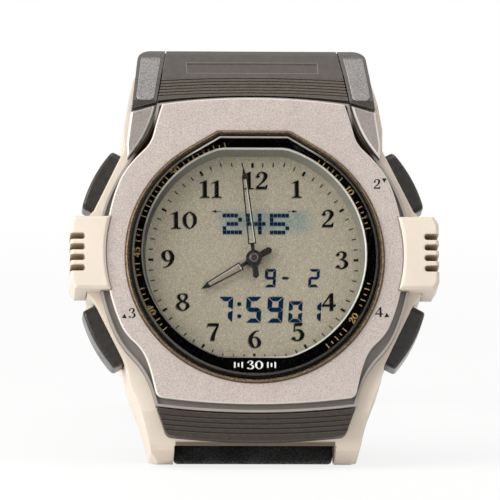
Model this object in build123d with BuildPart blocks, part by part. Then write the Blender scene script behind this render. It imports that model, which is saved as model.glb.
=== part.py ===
"""A wristwatch with hands over a liquid crystal display, in millimetres.

The watch stands on its open leather strap and leans back. The head is made in
the dial's own frame and set leaning at the end:
    x towards 3 o'clock, y towards 12 o'clock, z out of the dial,
    with z = 0 on the outer face of the case back and x = y = 0 on the hands' axis.
The strap, the buckle and the keepers are made in the standing frame:
    X towards 3 o'clock, Y to the rear, Z up, with the surface at Z = 0.
"""
from build123d import *
import math
import os

os.makedirs("parts", exist_ok=True)

# Strap, spring bars and how the watch stands
strap_width = 18.0
strap_end_width = 16.0
strap_thickness = 2.4
strap_pad = 0.8
strap_pad_length = 26.0
strap_side_gap = 0.15
barrel_radius = 1.9
lean_angle = 18.0
bar_radius = 0.75
bar_tip_radius = 0.4
bar_tip_length = 1.15
bar_play = 0.05
tip_play = 0.02
bar_height = 2.2
barrel_to_rear = 5.0

# Case
back_thickness = 0.8
case_front = 9.6
case_half_width = 18.96
case_half_height = 22.9
lower_bar_inset = 2.3
upper_bar_inset = 2.7
lower_bar_reach = case_half_height - lower_bar_inset
upper_bar_reach = case_half_height - upper_bar_inset
hood_ceiling = 4.45
hood_edge = 8.0
hood_setback = 1.2
barrel_clearance = 0.3
overrun = 1.0

# Module bay, crystal and front pieces
bay_radius = 14.9
bay_top = 7.7
bore_radius = 13.5
front_centre_drop = 0.4
front_flat_share = 0.278
plate_thickness = 1.4
plate_aperture = 14.75
plate_side_setback = 1.06
plate_half_width = case_half_width - plate_side_setback
plate_setback = 4.5
plate_half_height = case_half_height - plate_setback
plate_bevel = 0.15
plate_lip_width = 0.3
plate_lip_height = 0.95
plate_channel_height = 0.55
rim_width = 0.38
rim_proud = 0.3
gasket_width = 0.1
gasket_height = 1.2
crystal_thickness = 2.1
crystal_bevel = 0.5
fit_gap = 0.05
front_gap = 0.2
flange_thickness = 0.3
flange_aperture = 12.72
flange_flat = 12.16
flange_centre_rise = 0.42
flange_slope = 13.0

# Display and module
display_radius = 14.2
display_thickness = 1.0
backlight_radius = 11.2
backlight_thickness = 0.25
module_radius = 14.6
module_bottom = 2.7
module_top = 6.7
train_floor = 3.1
train_radius = 10.2
train_ledge = 0.5
train_plate_thickness = 0.3
train_plate_height = 4.0
board_thickness = 0.6
battery_radius = 8.0
battery_thickness = 1.6
battery_drop = 4.6

# Buttons
button_angle = 27.9
button_length = 7.5
button_flat_inset = 0.46
button_flat_distance = case_half_width - button_flat_inset
button_low = 4.2
button_high = 8.2
button_proud = 2.0
button_end_proud = 1.55
button_sunk = 0.6
button_travel = 0.8
button_play = 0.15
button_corner = 0.8
stem_radius = 0.75
stem_play = 0.04
stem_height = 5.3
stem_overlap = 0.9
stem_end_distance = bay_radius - stem_overlap
clip_thickness = 0.3
clip_radius = 1.05
seal_radius = 1.2
seal_thickness = 0.5
spring_wall = 0.3

# Hands and wheels
minute_angle = 354.0
hour_angle = 239.5
minute_length = 10.8
minute_tail = 2.4
minute_width = 0.92
hour_length = 6.97
hour_tail = 2.35
hour_width = 1.0
hand_thickness = 0.16
hand_hub_radius = 0.9
hour_hand_height = 8.15
minute_hand_height = 8.75
centre_post_radius = 0.18
arbor_play = 0.03
arbor_wall = 0.17
pipe_wall = 0.28
wheel_module = 0.12
train_module = 0.10
wheel_thickness = 0.3
root_depth_share = 1.2
tip_height_share = 0.9
root_half_share = 0.30
tip_half_share = 0.10

standing = math.radians(lean_angle)
crystal_radius = plate_aperture - fit_gap - rim_width - gasket_width


def leaning(y, z):
    """The (Y, Z) place in the standing frame of a point of the dial's frame."""
    along = y * math.sin(standing) - z * math.cos(standing)
    up = y * math.cos(standing) + z * math.sin(standing)
    return along, up


lower_bar_along, lower_bar_up = leaning(-lower_bar_reach, bar_height)
shift_along = -barrel_to_rear - lower_bar_along
shift_up = barrel_radius - lower_bar_up
dial_plane = Plane(
    origin=(0, shift_along, shift_up),
    x_dir=(1, 0, 0),
    z_dir=(0, -math.cos(standing), math.sin(standing)),
)


def save(piece, name):
    """Label a finished piece and write it."""
    piece.label = name
    export_step(piece, f"parts/{name}.step")


def save_head(piece, name):
    """Set a piece of the head leaning, then write it."""
    save(dial_plane.location * piece, name)


def scaled(shares, width, height):
    """Outline points from hand-chosen shares of a width and a height."""
    return [(x * width, y * height) for x, y in shares]


def flat_topped(radius, drop=0.0):
    """A disc whose top is a flat and two facets, all touching its circle."""
    flat_half = radius * front_flat_share
    turn = 2 * math.atan2(flat_half, radius)
    touch_x = radius * math.sin(turn)
    touch_y = radius * math.cos(turn)
    with BuildSketch() as disc:
        with BuildLine():
            Polyline(
                (-touch_x, touch_y - drop),
                (-flat_half, radius - drop),
                (flat_half, radius - drop),
                (touch_x, touch_y - drop),
            )
            ThreePointArc((touch_x, touch_y - drop), (0, -radius - drop), (-touch_x, touch_y - drop))
        make_face()
    return disc.sketch


def mirrored_outline(points):
    """A face from the points of its right half, which run from the top centre down."""
    with BuildSketch() as face:
        with BuildLine():
            Polyline(*points)
            mirror(about=Plane.YZ)
        make_face()
    return face.sketch


def gear_outline(teeth, module, first_tooth):
    """A toothed disc of straight-sided teeth, with its first tooth at an angle in degrees."""
    pitch_radius = teeth * module / 2
    root = pitch_radius - root_depth_share * module
    tip = pitch_radius + tip_height_share * module
    pitch = 360 / teeth
    points = []
    for tooth in range(teeth):
        middle = first_tooth + tooth * pitch
        for radius, share in ((root, -root_half_share), (tip, -tip_half_share),
                              (tip, tip_half_share), (root, root_half_share)):
            angle = math.radians(middle + share * pitch)
            points.append((radius * math.cos(angle), radius * math.sin(angle)))
    with BuildSketch() as face:
        with BuildLine():
            Polyline(*points, close=True)
        make_face()
    return face.sketch


def polar(distance, angle):
    """A point of the dial at a distance and a mathematical angle in degrees."""
    return distance * math.cos(math.radians(angle)), distance * math.sin(math.radians(angle))


# Case body
# Right half of the case seen from the front, as shares of its half width and half height.
case_edge_shares = [
    (0.0, 0.992), (0.640, 0.980), (0.712, 0.935), (0.745, 0.812),
    (0.778, 0.651), (0.776, 0.540), (0.958, 0.230), (1.0, 0.192),
    (1.0, -0.192), (0.958, -0.230), (0.776, -0.540), (0.745, -0.650),
    (0.692, -0.760), (0.645, -0.890), (0.622, -0.972), (0.580, -1.0),
    (0.0, -1.0),
]
# The case seen from the 3 o'clock side, as shares of its half height and of its front height.
case_side_shares = [
    (-0.790, 1.0), (-0.945, 0.840), (-0.968, 0.800), (-1.0, 0.560),
    (-1.0, 0.375), (-0.964, 0.0833), (0.930, 0.0833), (0.985, 0.300),
    (1.0, 0.520), (1.0, 0.640), (0.900, 0.800), (0.772, 1.0),
]
case_side_points = scaled(case_side_shares, case_half_height, case_front)
slot_half = strap_width / 2 + strap_side_gap
slot_radius = barrel_radius + barrel_clearance
screw_reach = 12.6
screw_radius = 0.55
screw_play = 0.05
screw_head_radius = 1.1
screw_length = 3.6
back_round_radius = 16.6
back_ear_half = 14.3
back_ear_round = 2.2
back_gasket_radius = 15.25
back_gasket_width = 0.6
back_gasket_depth = 0.4
aerial_room_half = 9.4
aerial_room_length = 2.6
aerial_room_low = plate_half_height + fit_gap
aerial_room_high = aerial_room_low + aerial_room_length
aerial_room_floor = 4.95
button_angles = {
    "upper_right": button_angle,
    "upper_left": 180 - button_angle,
    "lower_left": 180 + button_angle,
    "lower_right": -button_angle,
}
pocket_floor = button_flat_distance - button_sunk - button_travel - button_play


def button_plane(angle):
    """The plane square to a button's push, through the hands' axis at the stem's height."""
    outward = polar(1, angle)
    along = polar(1, angle + 90)
    return Plane(origin=(0, 0, stem_height), x_dir=(*along, 0), z_dir=(*outward, 0))


def button_mouth(grow):
    """The button's end view: along the case's edge and up the case, with rounded corners."""
    width = button_length + 2 * grow
    height = button_high - button_low + 2 * grow
    middle = (button_high + button_low) / 2 - stem_height
    return width, height, middle, button_corner + grow


with BuildPart() as case_body:
    with BuildSketch(Plane.XY.offset(back_thickness)):
        add(mirrored_outline(scaled(case_edge_shares, case_half_width, case_half_height)))
    extrude(amount=case_front - back_thickness)
    with BuildSketch(Plane.YZ):
        with BuildLine():
            Polyline(*case_side_points, close=True)
        make_face()
    extrude(amount=case_half_width + overrun, both=True, mode=Mode.INTERSECT)
    # Bay for the module, bore for the dial, and the rebate that holds the ring's flange
    with BuildSketch(Plane.XY.offset(back_thickness)):
        Circle(bay_radius)
    extrude(amount=bay_top - back_thickness, mode=Mode.SUBTRACT)
    with BuildSketch(Plane.XY.offset(bay_top)):
        Circle(bore_radius)
    extrude(amount=case_front - bay_top, mode=Mode.SUBTRACT)
    with BuildSketch(Plane.XY.offset(case_front - flange_thickness)):
        add(flat_topped(crystal_radius, front_centre_drop))
    extrude(amount=flange_thickness, mode=Mode.SUBTRACT)
    # Strap slots between the lugs
    lower_slot = [
        (-lower_bar_reach + slot_radius, -overrun),
        (-lower_bar_reach + slot_radius, hood_ceiling),
        (-lower_bar_reach + barrel_clearance, hood_ceiling),
        (-case_half_height + hood_setback, hood_edge),
        (-case_half_height + hood_setback, case_front + overrun),
        (-case_half_height - overrun, case_front + overrun),
        (-case_half_height - overrun, -overrun),
    ]
    upper_slot = [
        (upper_bar_reach - slot_radius, -overrun),
        (upper_bar_reach - slot_radius, hood_ceiling),
        (case_half_height + overrun, hood_ceiling),
        (case_half_height + overrun, -overrun),
    ]
    for slot in (lower_slot, upper_slot):
        with BuildSketch(Plane.YZ):
            with BuildLine():
                Polyline(*slot, close=True)
            make_face()
        extrude(amount=slot_half, both=True, mode=Mode.SUBTRACT)
    # Holes in the lugs for the tips of the spring bars
    with BuildSketch(Plane.YZ):
        with Locations((-lower_bar_reach, bar_height), (upper_bar_reach, bar_height)):
            Circle(bar_tip_radius + tip_play)
    extrude(amount=slot_half + bar_tip_length, both=True, mode=Mode.SUBTRACT)
    # Chamber for the aerial under its cover
    with BuildSketch(Plane.XY.offset(aerial_room_floor)):
        with Locations((0, (aerial_room_low + aerial_room_high) / 2)):
            Rectangle(2 * aerial_room_half, aerial_room_high - aerial_room_low)
    extrude(amount=case_front - aerial_room_floor, mode=Mode.SUBTRACT)
    # Screw holes and the gasket's groove in the rear face
    with BuildSketch(Plane.XY.offset(back_thickness)):
        with GridLocations(2 * screw_reach, 2 * screw_reach, 2, 2):
            Circle(screw_radius + screw_play)
    extrude(amount=screw_length, mode=Mode.SUBTRACT)
    with BuildSketch(Plane.XY.offset(back_thickness)):
        Circle(back_gasket_radius + back_gasket_width)
        Circle(back_gasket_radius, mode=Mode.SUBTRACT)
    extrude(amount=back_gasket_depth, mode=Mode.SUBTRACT)
    # Button pockets, stem holes and seal seats
    for angle in button_angles.values():
        push = button_plane(angle)
        width, height, middle, corner = button_mouth(button_play)
        with BuildSketch(push.offset(pocket_floor)):
            with Locations((0, middle)):
                RectangleRounded(width, height, corner)
        extrude(amount=case_half_width, mode=Mode.SUBTRACT)
        with BuildSketch(push.offset(bore_radius)):
            Circle(stem_radius + stem_play)
        extrude(amount=case_half_width, mode=Mode.SUBTRACT)
        with BuildSketch(push.offset(pocket_floor - seal_thickness)):
            Circle(seal_radius)
        extrude(amount=seal_thickness, mode=Mode.SUBTRACT)
save_head(case_body.part, "case_body")


# Case back, its gasket and its screws
back_edge_chamfer = 0.25

with BuildPart() as case_back:
    with BuildSketch():
        Circle(back_round_radius)
        RectangleRounded(2 * back_ear_half, 2 * back_ear_half, back_ear_round)
    extrude(amount=back_thickness)
    chamfer(case_back.faces().sort_by(Axis.Z)[0].outer_wire().edges(), back_edge_chamfer)
    with Locations(Plane(origin=(0, 0, 0), x_dir=(1, 0, 0), z_dir=(0, 0, -1))):
        with GridLocations(2 * screw_reach, 2 * screw_reach, 2, 2):
            CounterSinkHole(screw_radius + screw_play, screw_head_radius)
save_head(case_back.part, "case_back")

with BuildPart() as case_back_gasket:
    with BuildSketch(Plane.XY.offset(back_thickness)):
        Circle(back_gasket_radius + back_gasket_width)
        Circle(back_gasket_radius, mode=Mode.SUBTRACT)
    extrude(amount=back_gasket_depth)
save_head(case_back_gasket.part, "case_back_gasket")

screw_slot_width = 0.28
screw_slot_depth = 0.3
screw_head_height = screw_head_radius - screw_radius

with BuildPart() as case_back_screws:
    with GridLocations(2 * screw_reach, 2 * screw_reach, 2, 2):
        Cone(
            screw_head_radius,
            screw_radius,
            screw_head_height,
            align=(Align.CENTER, Align.CENTER, Align.MIN),
        )
        Cylinder(screw_radius, screw_length, align=(Align.CENTER, Align.CENTER, Align.MIN))
        Box(
            2 * screw_head_radius,
            screw_slot_width,
            2 * screw_slot_depth,
            mode=Mode.SUBTRACT,
        )
save_head(case_back_screws.part, "case_back_screws")


# Face plate
# Its right half from the middle of the flank to each end, as shares of its half width and
# half height: the whole plate first, and then its raised face, with a channel between them.
plate_flank_share = 1.0
plate_upper_shares = [
    (0.883, 0.451), (0.788, 0.603), (0.704, 0.717), (0.642, 0.832), (0.610, 0.959),
]
plate_lower_shares = [
    (0.897, -0.489), (0.782, -0.658), (0.670, -0.832), (0.633, -0.961),
]
plate_end_shares = (1.0, -1.0)
face_flank_share = 0.947
face_upper_shares = [
    (0.875, 0.412), (0.782, 0.571), (0.698, 0.658), (0.637, 0.761), (0.580, 0.950),
]
face_lower_shares = [
    (0.852, -0.451), (0.771, -0.560), (0.693, -0.668), (0.654, -0.793), (0.626, -0.908),
]
face_end_shares = (0.990, -0.951)
face_corner_round = 0.9
guard_half_height = 4.25
guard_seat_depth = 2.66
guard_inner = case_half_width - guard_seat_depth
guard_inner_bow = 0.6
guard_proud = 1.94
guard_outer = case_half_width + guard_proud
guard_corner_depth = 0.55
guard_outer_corner = guard_outer - guard_corner_depth
guard_corner = 0.9
guard_front = 11.45
guard_rear = 5.4
guard_seat_gap = 0.08


def plate_face(flank_share, upper_shares, lower_shares, end_shares):
    """The hourglass outline: arcs that run on from each other, and arched ends."""
    with BuildSketch() as face:
        with BuildLine():
            corners = []
            for shares, heading in ((upper_shares, 1), (lower_shares, -1)):
                start = Vector(plate_half_width * flank_share, 0)
                direction = Vector(0, heading)
                for point in scaled(shares, plate_half_width, plate_half_height):
                    arc = TangentArc(start, point, tangent=direction)
                    start = arc @ 1
                    direction = arc % 1
                corners.append(point)
            mirror(about=Plane.YZ)
            for corner, share in zip(corners, end_shares):
                ThreePointArc(corner, (0, plate_half_height * share), (-corner[0], corner[1]))
        make_face()
    return face.sketch


def guard_face(grow):
    """The right side guard seen from the front, grown all round for the notch it sits in."""
    inner = guard_inner - grow
    top = guard_half_height + grow
    corner_top = top - guard_corner
    with BuildSketch() as face:
        with BuildLine():
            ThreePointArc((inner, -top), (inner + guard_inner_bow, 0), (inner, top))
            Line((inner, top), (guard_outer_corner + grow, top))
            Line((guard_outer_corner + grow, top), (guard_outer + grow, corner_top))
            Line((guard_outer + grow, corner_top), (guard_outer + grow, -corner_top))
            Line((guard_outer + grow, -corner_top), (guard_outer_corner + grow, -top))
            Line((guard_outer_corner + grow, -top), (inner, -top))
        make_face()
    return face.sketch


with BuildSketch() as raised_face:
    add(plate_face(face_flank_share, face_upper_shares, face_lower_shares, face_end_shares))
    fillet(raised_face.vertices().group_by(Axis.Y)[0], face_corner_round)

with BuildPart() as raised_block:
    with BuildSketch(Plane.XY.offset(case_front)):
        add(raised_face.sketch)
    extrude(amount=plate_thickness)
    chamfer(raised_block.faces().sort_by(Axis.Z)[-1].edges(), plate_bevel)

with BuildPart() as face_plate:
    with BuildSketch(Plane.XY.offset(case_front)):
        add(plate_face(plate_flank_share, plate_upper_shares, plate_lower_shares, plate_end_shares))
    extrude(amount=plate_lip_height)
    with BuildSketch(Plane.XY.offset(case_front + plate_channel_height)):
        add(plate_face(plate_flank_share, plate_upper_shares, plate_lower_shares, plate_end_shares))
        offset(amount=-plate_lip_width, kind=Kind.INTERSECTION, mode=Mode.REPLACE)
    extrude(amount=plate_lip_height, mode=Mode.SUBTRACT)
    add(raised_block.part)
    with BuildSketch(Plane.XY.offset(case_front)):
        add(flat_topped(plate_aperture, front_centre_drop))
    extrude(amount=plate_thickness, mode=Mode.SUBTRACT)
    with BuildSketch(Plane.XY.offset(case_front)):
        add(guard_face(guard_seat_gap))
        add(guard_face(guard_seat_gap).mirror(Plane.YZ))
    extrude(amount=plate_thickness, mode=Mode.SUBTRACT)
save_head(face_plate.part, "face_plate")

# Crystal, its rim and its gasket
rim_outer = plate_aperture - fit_gap
rim_inner = rim_outer - rim_width
rim_bevel = 0.15

with BuildPart() as crystal_rim:
    with BuildSketch(Plane.XY.offset(case_front)):
        add(flat_topped(rim_outer, front_centre_drop))
        add(flat_topped(rim_inner, front_centre_drop), mode=Mode.SUBTRACT)
    extrude(amount=plate_thickness + rim_proud)
    chamfer(crystal_rim.faces().sort_by(Axis.Z)[-1].edges(), rim_bevel)
save_head(crystal_rim.part, "crystal_rim")

with BuildPart() as crystal_gasket:
    with BuildSketch(Plane.XY.offset(case_front)):
        add(flat_topped(rim_inner, front_centre_drop))
        add(flat_topped(crystal_radius, front_centre_drop), mode=Mode.SUBTRACT)
    extrude(amount=gasket_height)
save_head(crystal_gasket.part, "crystal_gasket")

with BuildPart() as crystal:
    with BuildSketch(Plane.XY.offset(case_front)):
        add(flat_topped(crystal_radius, front_centre_drop))
    extrude(amount=crystal_thickness)
    chamfer(crystal.faces().sort_by(Axis.Z)[-1].edges(), crystal_bevel)
save_head(crystal.part, "crystal")

# Ring between the crystal and the dial
wall_radius = bore_radius - fit_gap

with BuildPart() as dial_ring:
    with BuildSketch(Plane.XY.offset(case_front - flange_thickness)):
        add(flat_topped(crystal_radius - fit_gap, front_centre_drop))
    extrude(amount=flange_thickness)
    with BuildSketch(Plane.XY.offset(bay_top)):
        Circle(wall_radius)
    extrude(amount=case_front - flange_thickness - bay_top)
    with BuildSketch(Plane.XY.offset(case_front)):
        with Locations((0, flange_centre_rise)):
            Circle(flange_aperture)
            Rectangle(2 * flange_aperture, 2 * flange_flat, mode=Mode.INTERSECT)
    extrude(amount=bay_top - case_front, taper=flange_slope, mode=Mode.SUBTRACT)
save_head(dial_ring.part, "dial_ring")

# Display, backlight, module frame, circuit board and connector strips
display_hole = 0.85
display_flat_share = 0.93
strip_length = 11.0
strip_width = 1.2
strip_reach = 12.2
module_recess = 0.4
notch_width = 2.6
notch_inner = 12.9
notch_floor = 3.95
board_radius = 13.6
board_hole_play = 0.25
chip_radius = 2.6
chip_height = 0.7
chip_draft = 18.0
chip_reach = 8.4
quartz_radius = 0.5
quartz_length = 5.0
quartz_across = 5.0

with BuildPart() as display_panel:
    with BuildSketch(Plane.XY.offset(bay_top - display_thickness)):
        Circle(display_radius)
        Rectangle(
            2 * display_radius,
            2 * display_radius * display_flat_share,
            mode=Mode.INTERSECT,
        )
        Circle(display_hole, mode=Mode.SUBTRACT)
    extrude(amount=display_thickness)
save_head(display_panel.part, "display_panel")

backlight_bottom = module_top - module_recess

with BuildPart() as backlight_panel:
    with BuildSketch(Plane.XY.offset(backlight_bottom)):
        Circle(backlight_radius)
        Circle(display_hole, mode=Mode.SUBTRACT)
    extrude(amount=backlight_thickness)
save_head(backlight_panel.part, "backlight_panel")

with BuildPart() as module_frame:
    with BuildSketch(Plane.XY.offset(module_bottom)):
        Circle(module_radius)
    extrude(amount=module_top - module_bottom)
    with BuildSketch(Plane.XY.offset(train_floor)):
        Circle(train_radius)
    extrude(amount=module_top - train_floor, mode=Mode.SUBTRACT)
    with BuildSketch(Plane.XY.offset(train_plate_height)):
        Circle(train_radius + train_ledge)
    extrude(amount=module_top - train_plate_height, mode=Mode.SUBTRACT)
    with BuildSketch(Plane.XY.offset(backlight_bottom)):
        Circle(backlight_radius + fit_gap)
    extrude(amount=module_recess, mode=Mode.SUBTRACT)
    with BuildSketch(Plane.XY.offset(module_bottom)):
        with Locations((0, strip_reach), (0, -strip_reach)):
            Rectangle(strip_length + 2 * fit_gap, strip_width + 2 * fit_gap)
    extrude(amount=module_top - module_bottom, mode=Mode.SUBTRACT)
    # Notches in the rim for the button stems and their clips
    for angle in button_angles.values():
        with BuildSketch(Plane.XY.offset(notch_floor)):
            with Locations(Location((*polar((notch_inner + bay_radius) / 2, angle), 0), angle)):
                Rectangle(bay_radius - notch_inner, notch_width)
        extrude(amount=module_top - notch_floor, mode=Mode.SUBTRACT)
save_head(module_frame.part, "module_frame")

with BuildPart() as connector_strips:
    with BuildSketch(Plane.XY.offset(module_bottom)):
        with Locations((0, strip_reach), (0, -strip_reach)):
            Rectangle(strip_length, strip_width)
    extrude(amount=module_top - module_bottom)
save_head(connector_strips.part, "connector_strips")

with BuildPart() as circuit_board:
    with BuildSketch(Plane.XY.offset(module_bottom - board_thickness)):
        Circle(board_radius)
        with Locations((0, -battery_drop)):
            Circle(battery_radius + board_hole_play, mode=Mode.SUBTRACT)
    extrude(amount=board_thickness)
    # Sealed chip and the quartz tuning fork on the rear face
    with BuildSketch(Plane.XY.offset(module_bottom - board_thickness)):
        with Locations((0, chip_reach)):
            Circle(chip_radius)
    extrude(amount=-chip_height, taper=chip_draft)
    with Locations((quartz_across, chip_reach, module_bottom - board_thickness - quartz_radius)):
        Cylinder(quartz_radius, quartz_length, rotation=(0, 90, 0))
save_head(circuit_board.part, "circuit_board")

# Battery and the clip that holds it
battery_step = 0.25
battery_cap_inset = 0.9
clip_width = 5.0
clip_leaf = 0.2
clip_leg_gap = 0.35

with BuildPart() as battery:
    with Locations((0, -battery_drop, module_bottom)):
        Cylinder(
            battery_radius,
            battery_thickness - battery_step,
            rotation=(180, 0, 0),
            align=(Align.CENTER, Align.CENTER, Align.MIN),
        )
        Cylinder(
            battery_radius - battery_cap_inset,
            battery_thickness,
            rotation=(180, 0, 0),
            align=(Align.CENTER, Align.CENTER, Align.MIN),
        )
save_head(battery.part, "battery")

clip_top = module_bottom - battery_thickness
clip_reach = battery_radius + board_hole_play + clip_leg_gap

with BuildPart() as battery_clip:
    with BuildSketch(Plane.XZ.offset(battery_drop)):
        with BuildLine():
            Polyline(
                (-clip_reach, module_bottom - board_thickness),
                (-clip_reach, clip_top),
                (clip_reach, clip_top),
                (clip_reach, module_bottom - board_thickness),
            )
            offset(amount=clip_leaf, side=Side.RIGHT)
        make_face()
    extrude(amount=clip_width / 2, both=True)
save_head(battery_clip.part, "battery_clip")

# Stepping motor: stator, coil and rotor
intermediate_teeth = 48
intermediate_pinion_teeth = 8
centre_teeth = 60
rotor_pinion_teeth = 6
cannon_teeth = 12
minute_wheel_teeth = 36
minute_pinion_teeth = 10
hour_teeth = 40
intermediate_direction = 90.0
rotor_direction = 20.0
minute_wheel_direction = -60.0
intermediate_distance = (centre_teeth + intermediate_pinion_teeth) * train_module / 2
rotor_distance = (intermediate_teeth + rotor_pinion_teeth) * train_module / 2
minute_wheel_distance = (cannon_teeth + minute_wheel_teeth) * wheel_module / 2
hour_module = 2 * minute_wheel_distance / (minute_pinion_teeth + hour_teeth)
intermediate_place = polar(intermediate_distance, intermediate_direction)
rotor_step = polar(rotor_distance, rotor_direction)
rotor_place = (intermediate_place[0] + rotor_step[0], intermediate_place[1] + rotor_step[1])
minute_wheel_place = polar(minute_wheel_distance, minute_wheel_direction)

magnet_radius = 0.9
magnet_thickness = 0.35
magnet_gap = 0.25
pivot_radius = 0.1
end_shake = 0.02
wheel_lift = 0.1
stator_thickness = 0.4
stator_lift = 0.05
stator_left = 0.6
stator_right = 5.8
stator_low = 3.3
stator_high = 5.6
stator_ear_width = 0.8
stator_ear_high = 8.1
core_bar_thickness = 0.25
core_bar_width = 0.6
coil_width = 1.6
coil_height = 0.83
coil_round = 0.3
wheel_low = train_floor + wheel_lift
stator_bottom = train_floor + stator_lift

with BuildPart() as stator:
    with BuildSketch(Plane.XY.offset(stator_bottom)):
        with Locations(((stator_left + stator_right) / 2, (stator_low + stator_high) / 2)):
            Rectangle(stator_right - stator_left, stator_high - stator_low)
        ear_middle = (stator_high + stator_ear_high) / 2
        with Locations(
            (stator_left + stator_ear_width / 2, ear_middle),
            (stator_right - stator_ear_width / 2, ear_middle),
        ):
            Rectangle(stator_ear_width, stator_ear_high - stator_high)
        with Locations(rotor_place):
            Circle(magnet_radius + magnet_gap, mode=Mode.SUBTRACT)
    extrude(amount=stator_thickness)
save_head(stator.part, "stator")

coil_middle = (stator_left + stator_right) / 2
coil_length = stator_right - stator_left - 2 * stator_ear_width - 2 * fit_gap
coil_along = stator_ear_high - core_bar_width / 2
core_bar_bottom = stator_bottom + stator_thickness

with BuildPart() as motor_coil:
    with Locations((coil_middle, coil_along, core_bar_bottom)):
        Box(
            stator_right - stator_left,
            core_bar_width,
            core_bar_thickness,
            align=(Align.CENTER, Align.CENTER, Align.MIN),
        )
    with BuildSketch(Plane.YZ.offset(coil_middle - coil_length / 2)):
        with Locations((coil_along, train_floor + end_shake + coil_height / 2)):
            RectangleRounded(coil_width, coil_height, coil_round)
    extrude(amount=coil_length)
save_head(motor_coil.part, "motor_coil")

pinion_low = wheel_low + magnet_thickness
plate_top = train_plate_height + train_plate_thickness

with BuildPart() as rotor:
    with Locations((*rotor_place, wheel_low)):
        Cylinder(magnet_radius, magnet_thickness, align=(Align.CENTER, Align.CENTER, Align.MIN))
    with Locations((*rotor_place, train_floor + end_shake)):
        Cylinder(
            pivot_radius,
            plate_top - train_floor - 2 * end_shake,
            align=(Align.CENTER, Align.CENTER, Align.MIN),
        )
    rotor_tooth = rotor_direction + 180 + 180 / rotor_pinion_teeth
    with BuildSketch(Plane.XY.offset(pinion_low)):
        with Locations(rotor_place):
            add(gear_outline(rotor_pinion_teeth, train_module, rotor_tooth))
    extrude(amount=magnet_thickness)
save_head(rotor.part, "rotor")

# Wheels of the train and the motion work
post_radius = 0.15
stud_radius = 0.2
intermediate_wheel_low = wheel_low + wheel_thickness + wheel_lift
intermediate_wheel_thickness = 0.25
cannon_low = plate_top + wheel_lift
cannon_height = 0.45
minute_pinion_height = 0.6
hour_wheel_low = 4.95
hour_wheel_thickness = 0.25
stud_top = 5.5
post_top = 8.6
tube_radius = centre_post_radius + arbor_play + arbor_wall
pipe_bore = tube_radius + arbor_play
pipe_outer = pipe_bore + pipe_wall
tube_top = minute_hand_height + hand_thickness + arbor_play
pipe_top = hour_hand_height + hand_thickness + arbor_play
plate_hole_radius = tube_radius + fit_gap

with BuildPart() as train_plate:
    with BuildSketch(Plane.XY.offset(train_plate_height)):
        Circle(train_radius + train_ledge - fit_gap)
        Circle(plate_hole_radius, mode=Mode.SUBTRACT)
        with Locations(rotor_place):
            Circle(pivot_radius + arbor_play, mode=Mode.SUBTRACT)
    extrude(amount=train_plate_thickness)
save_head(train_plate.part, "train_plate")

with BuildPart() as train_posts:
    with Locations((0, 0, train_floor)):
        Cylinder(
            centre_post_radius,
            post_top - train_floor,
            align=(Align.CENTER, Align.CENTER, Align.MIN),
        )
    with Locations((*intermediate_place, train_floor)):
        Cylinder(
            post_radius,
            train_plate_height - train_floor,
            align=(Align.CENTER, Align.CENTER, Align.MIN),
        )
    with Locations((*minute_wheel_place, plate_top)):
        Cylinder(stud_radius, stud_top - plate_top, align=(Align.CENTER, Align.CENTER, Align.MIN))
save_head(train_posts.part, "train_posts")

with BuildPart() as centre_wheel:
    with BuildSketch(Plane.XY.offset(wheel_low)):
        add(gear_outline(centre_teeth, train_module, intermediate_direction))
    extrude(amount=wheel_thickness)
    with BuildSketch(Plane.XY.offset(cannon_low)):
        add(gear_outline(cannon_teeth, wheel_module, minute_wheel_direction))
    extrude(amount=cannon_height)
    with BuildSketch(Plane.XY.offset(train_floor + end_shake)):
        Circle(tube_radius)
    extrude(amount=tube_top - train_floor - end_shake)
    with BuildSketch(Plane.XY.offset(train_floor + end_shake)):
        Circle(centre_post_radius + arbor_play)
    extrude(amount=tube_top - train_floor, mode=Mode.SUBTRACT)
save_head(centre_wheel.part, "centre_wheel")

with BuildPart() as intermediate_wheel:
    pinion_tooth = intermediate_direction + 180 + 180 / intermediate_pinion_teeth
    with BuildSketch(Plane.XY.offset(wheel_low)):
        with Locations(intermediate_place):
            add(gear_outline(intermediate_pinion_teeth, train_module, pinion_tooth))
    extrude(amount=intermediate_wheel_low - wheel_low)
    with BuildSketch(Plane.XY.offset(intermediate_wheel_low)):
        with Locations(intermediate_place):
            add(gear_outline(intermediate_teeth, train_module, rotor_direction))
    extrude(amount=intermediate_wheel_thickness)
    with BuildSketch(Plane.XY.offset(wheel_low)):
        with Locations(intermediate_place):
            Circle(post_radius + arbor_play)
    extrude(amount=train_plate_height - wheel_low, mode=Mode.SUBTRACT)
save_head(intermediate_wheel.part, "intermediate_wheel")

with BuildPart() as minute_wheel:
    wheel_tooth = minute_wheel_direction + 180 + 180 / minute_wheel_teeth
    with BuildSketch(Plane.XY.offset(cannon_low)):
        with Locations(minute_wheel_place):
            add(gear_outline(minute_wheel_teeth, wheel_module, wheel_tooth))
    extrude(amount=wheel_thickness)
    minute_pinion_tooth = minute_wheel_direction + 180
    with BuildSketch(Plane.XY.offset(cannon_low + wheel_thickness)):
        with Locations(minute_wheel_place):
            add(gear_outline(minute_pinion_teeth, hour_module, minute_pinion_tooth))
    extrude(amount=minute_pinion_height)
    with BuildSketch(Plane.XY.offset(cannon_low)):
        with Locations(minute_wheel_place):
            Circle(stud_radius + arbor_play)
    extrude(amount=wheel_thickness + minute_pinion_height, mode=Mode.SUBTRACT)
save_head(minute_wheel.part, "minute_wheel")

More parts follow.
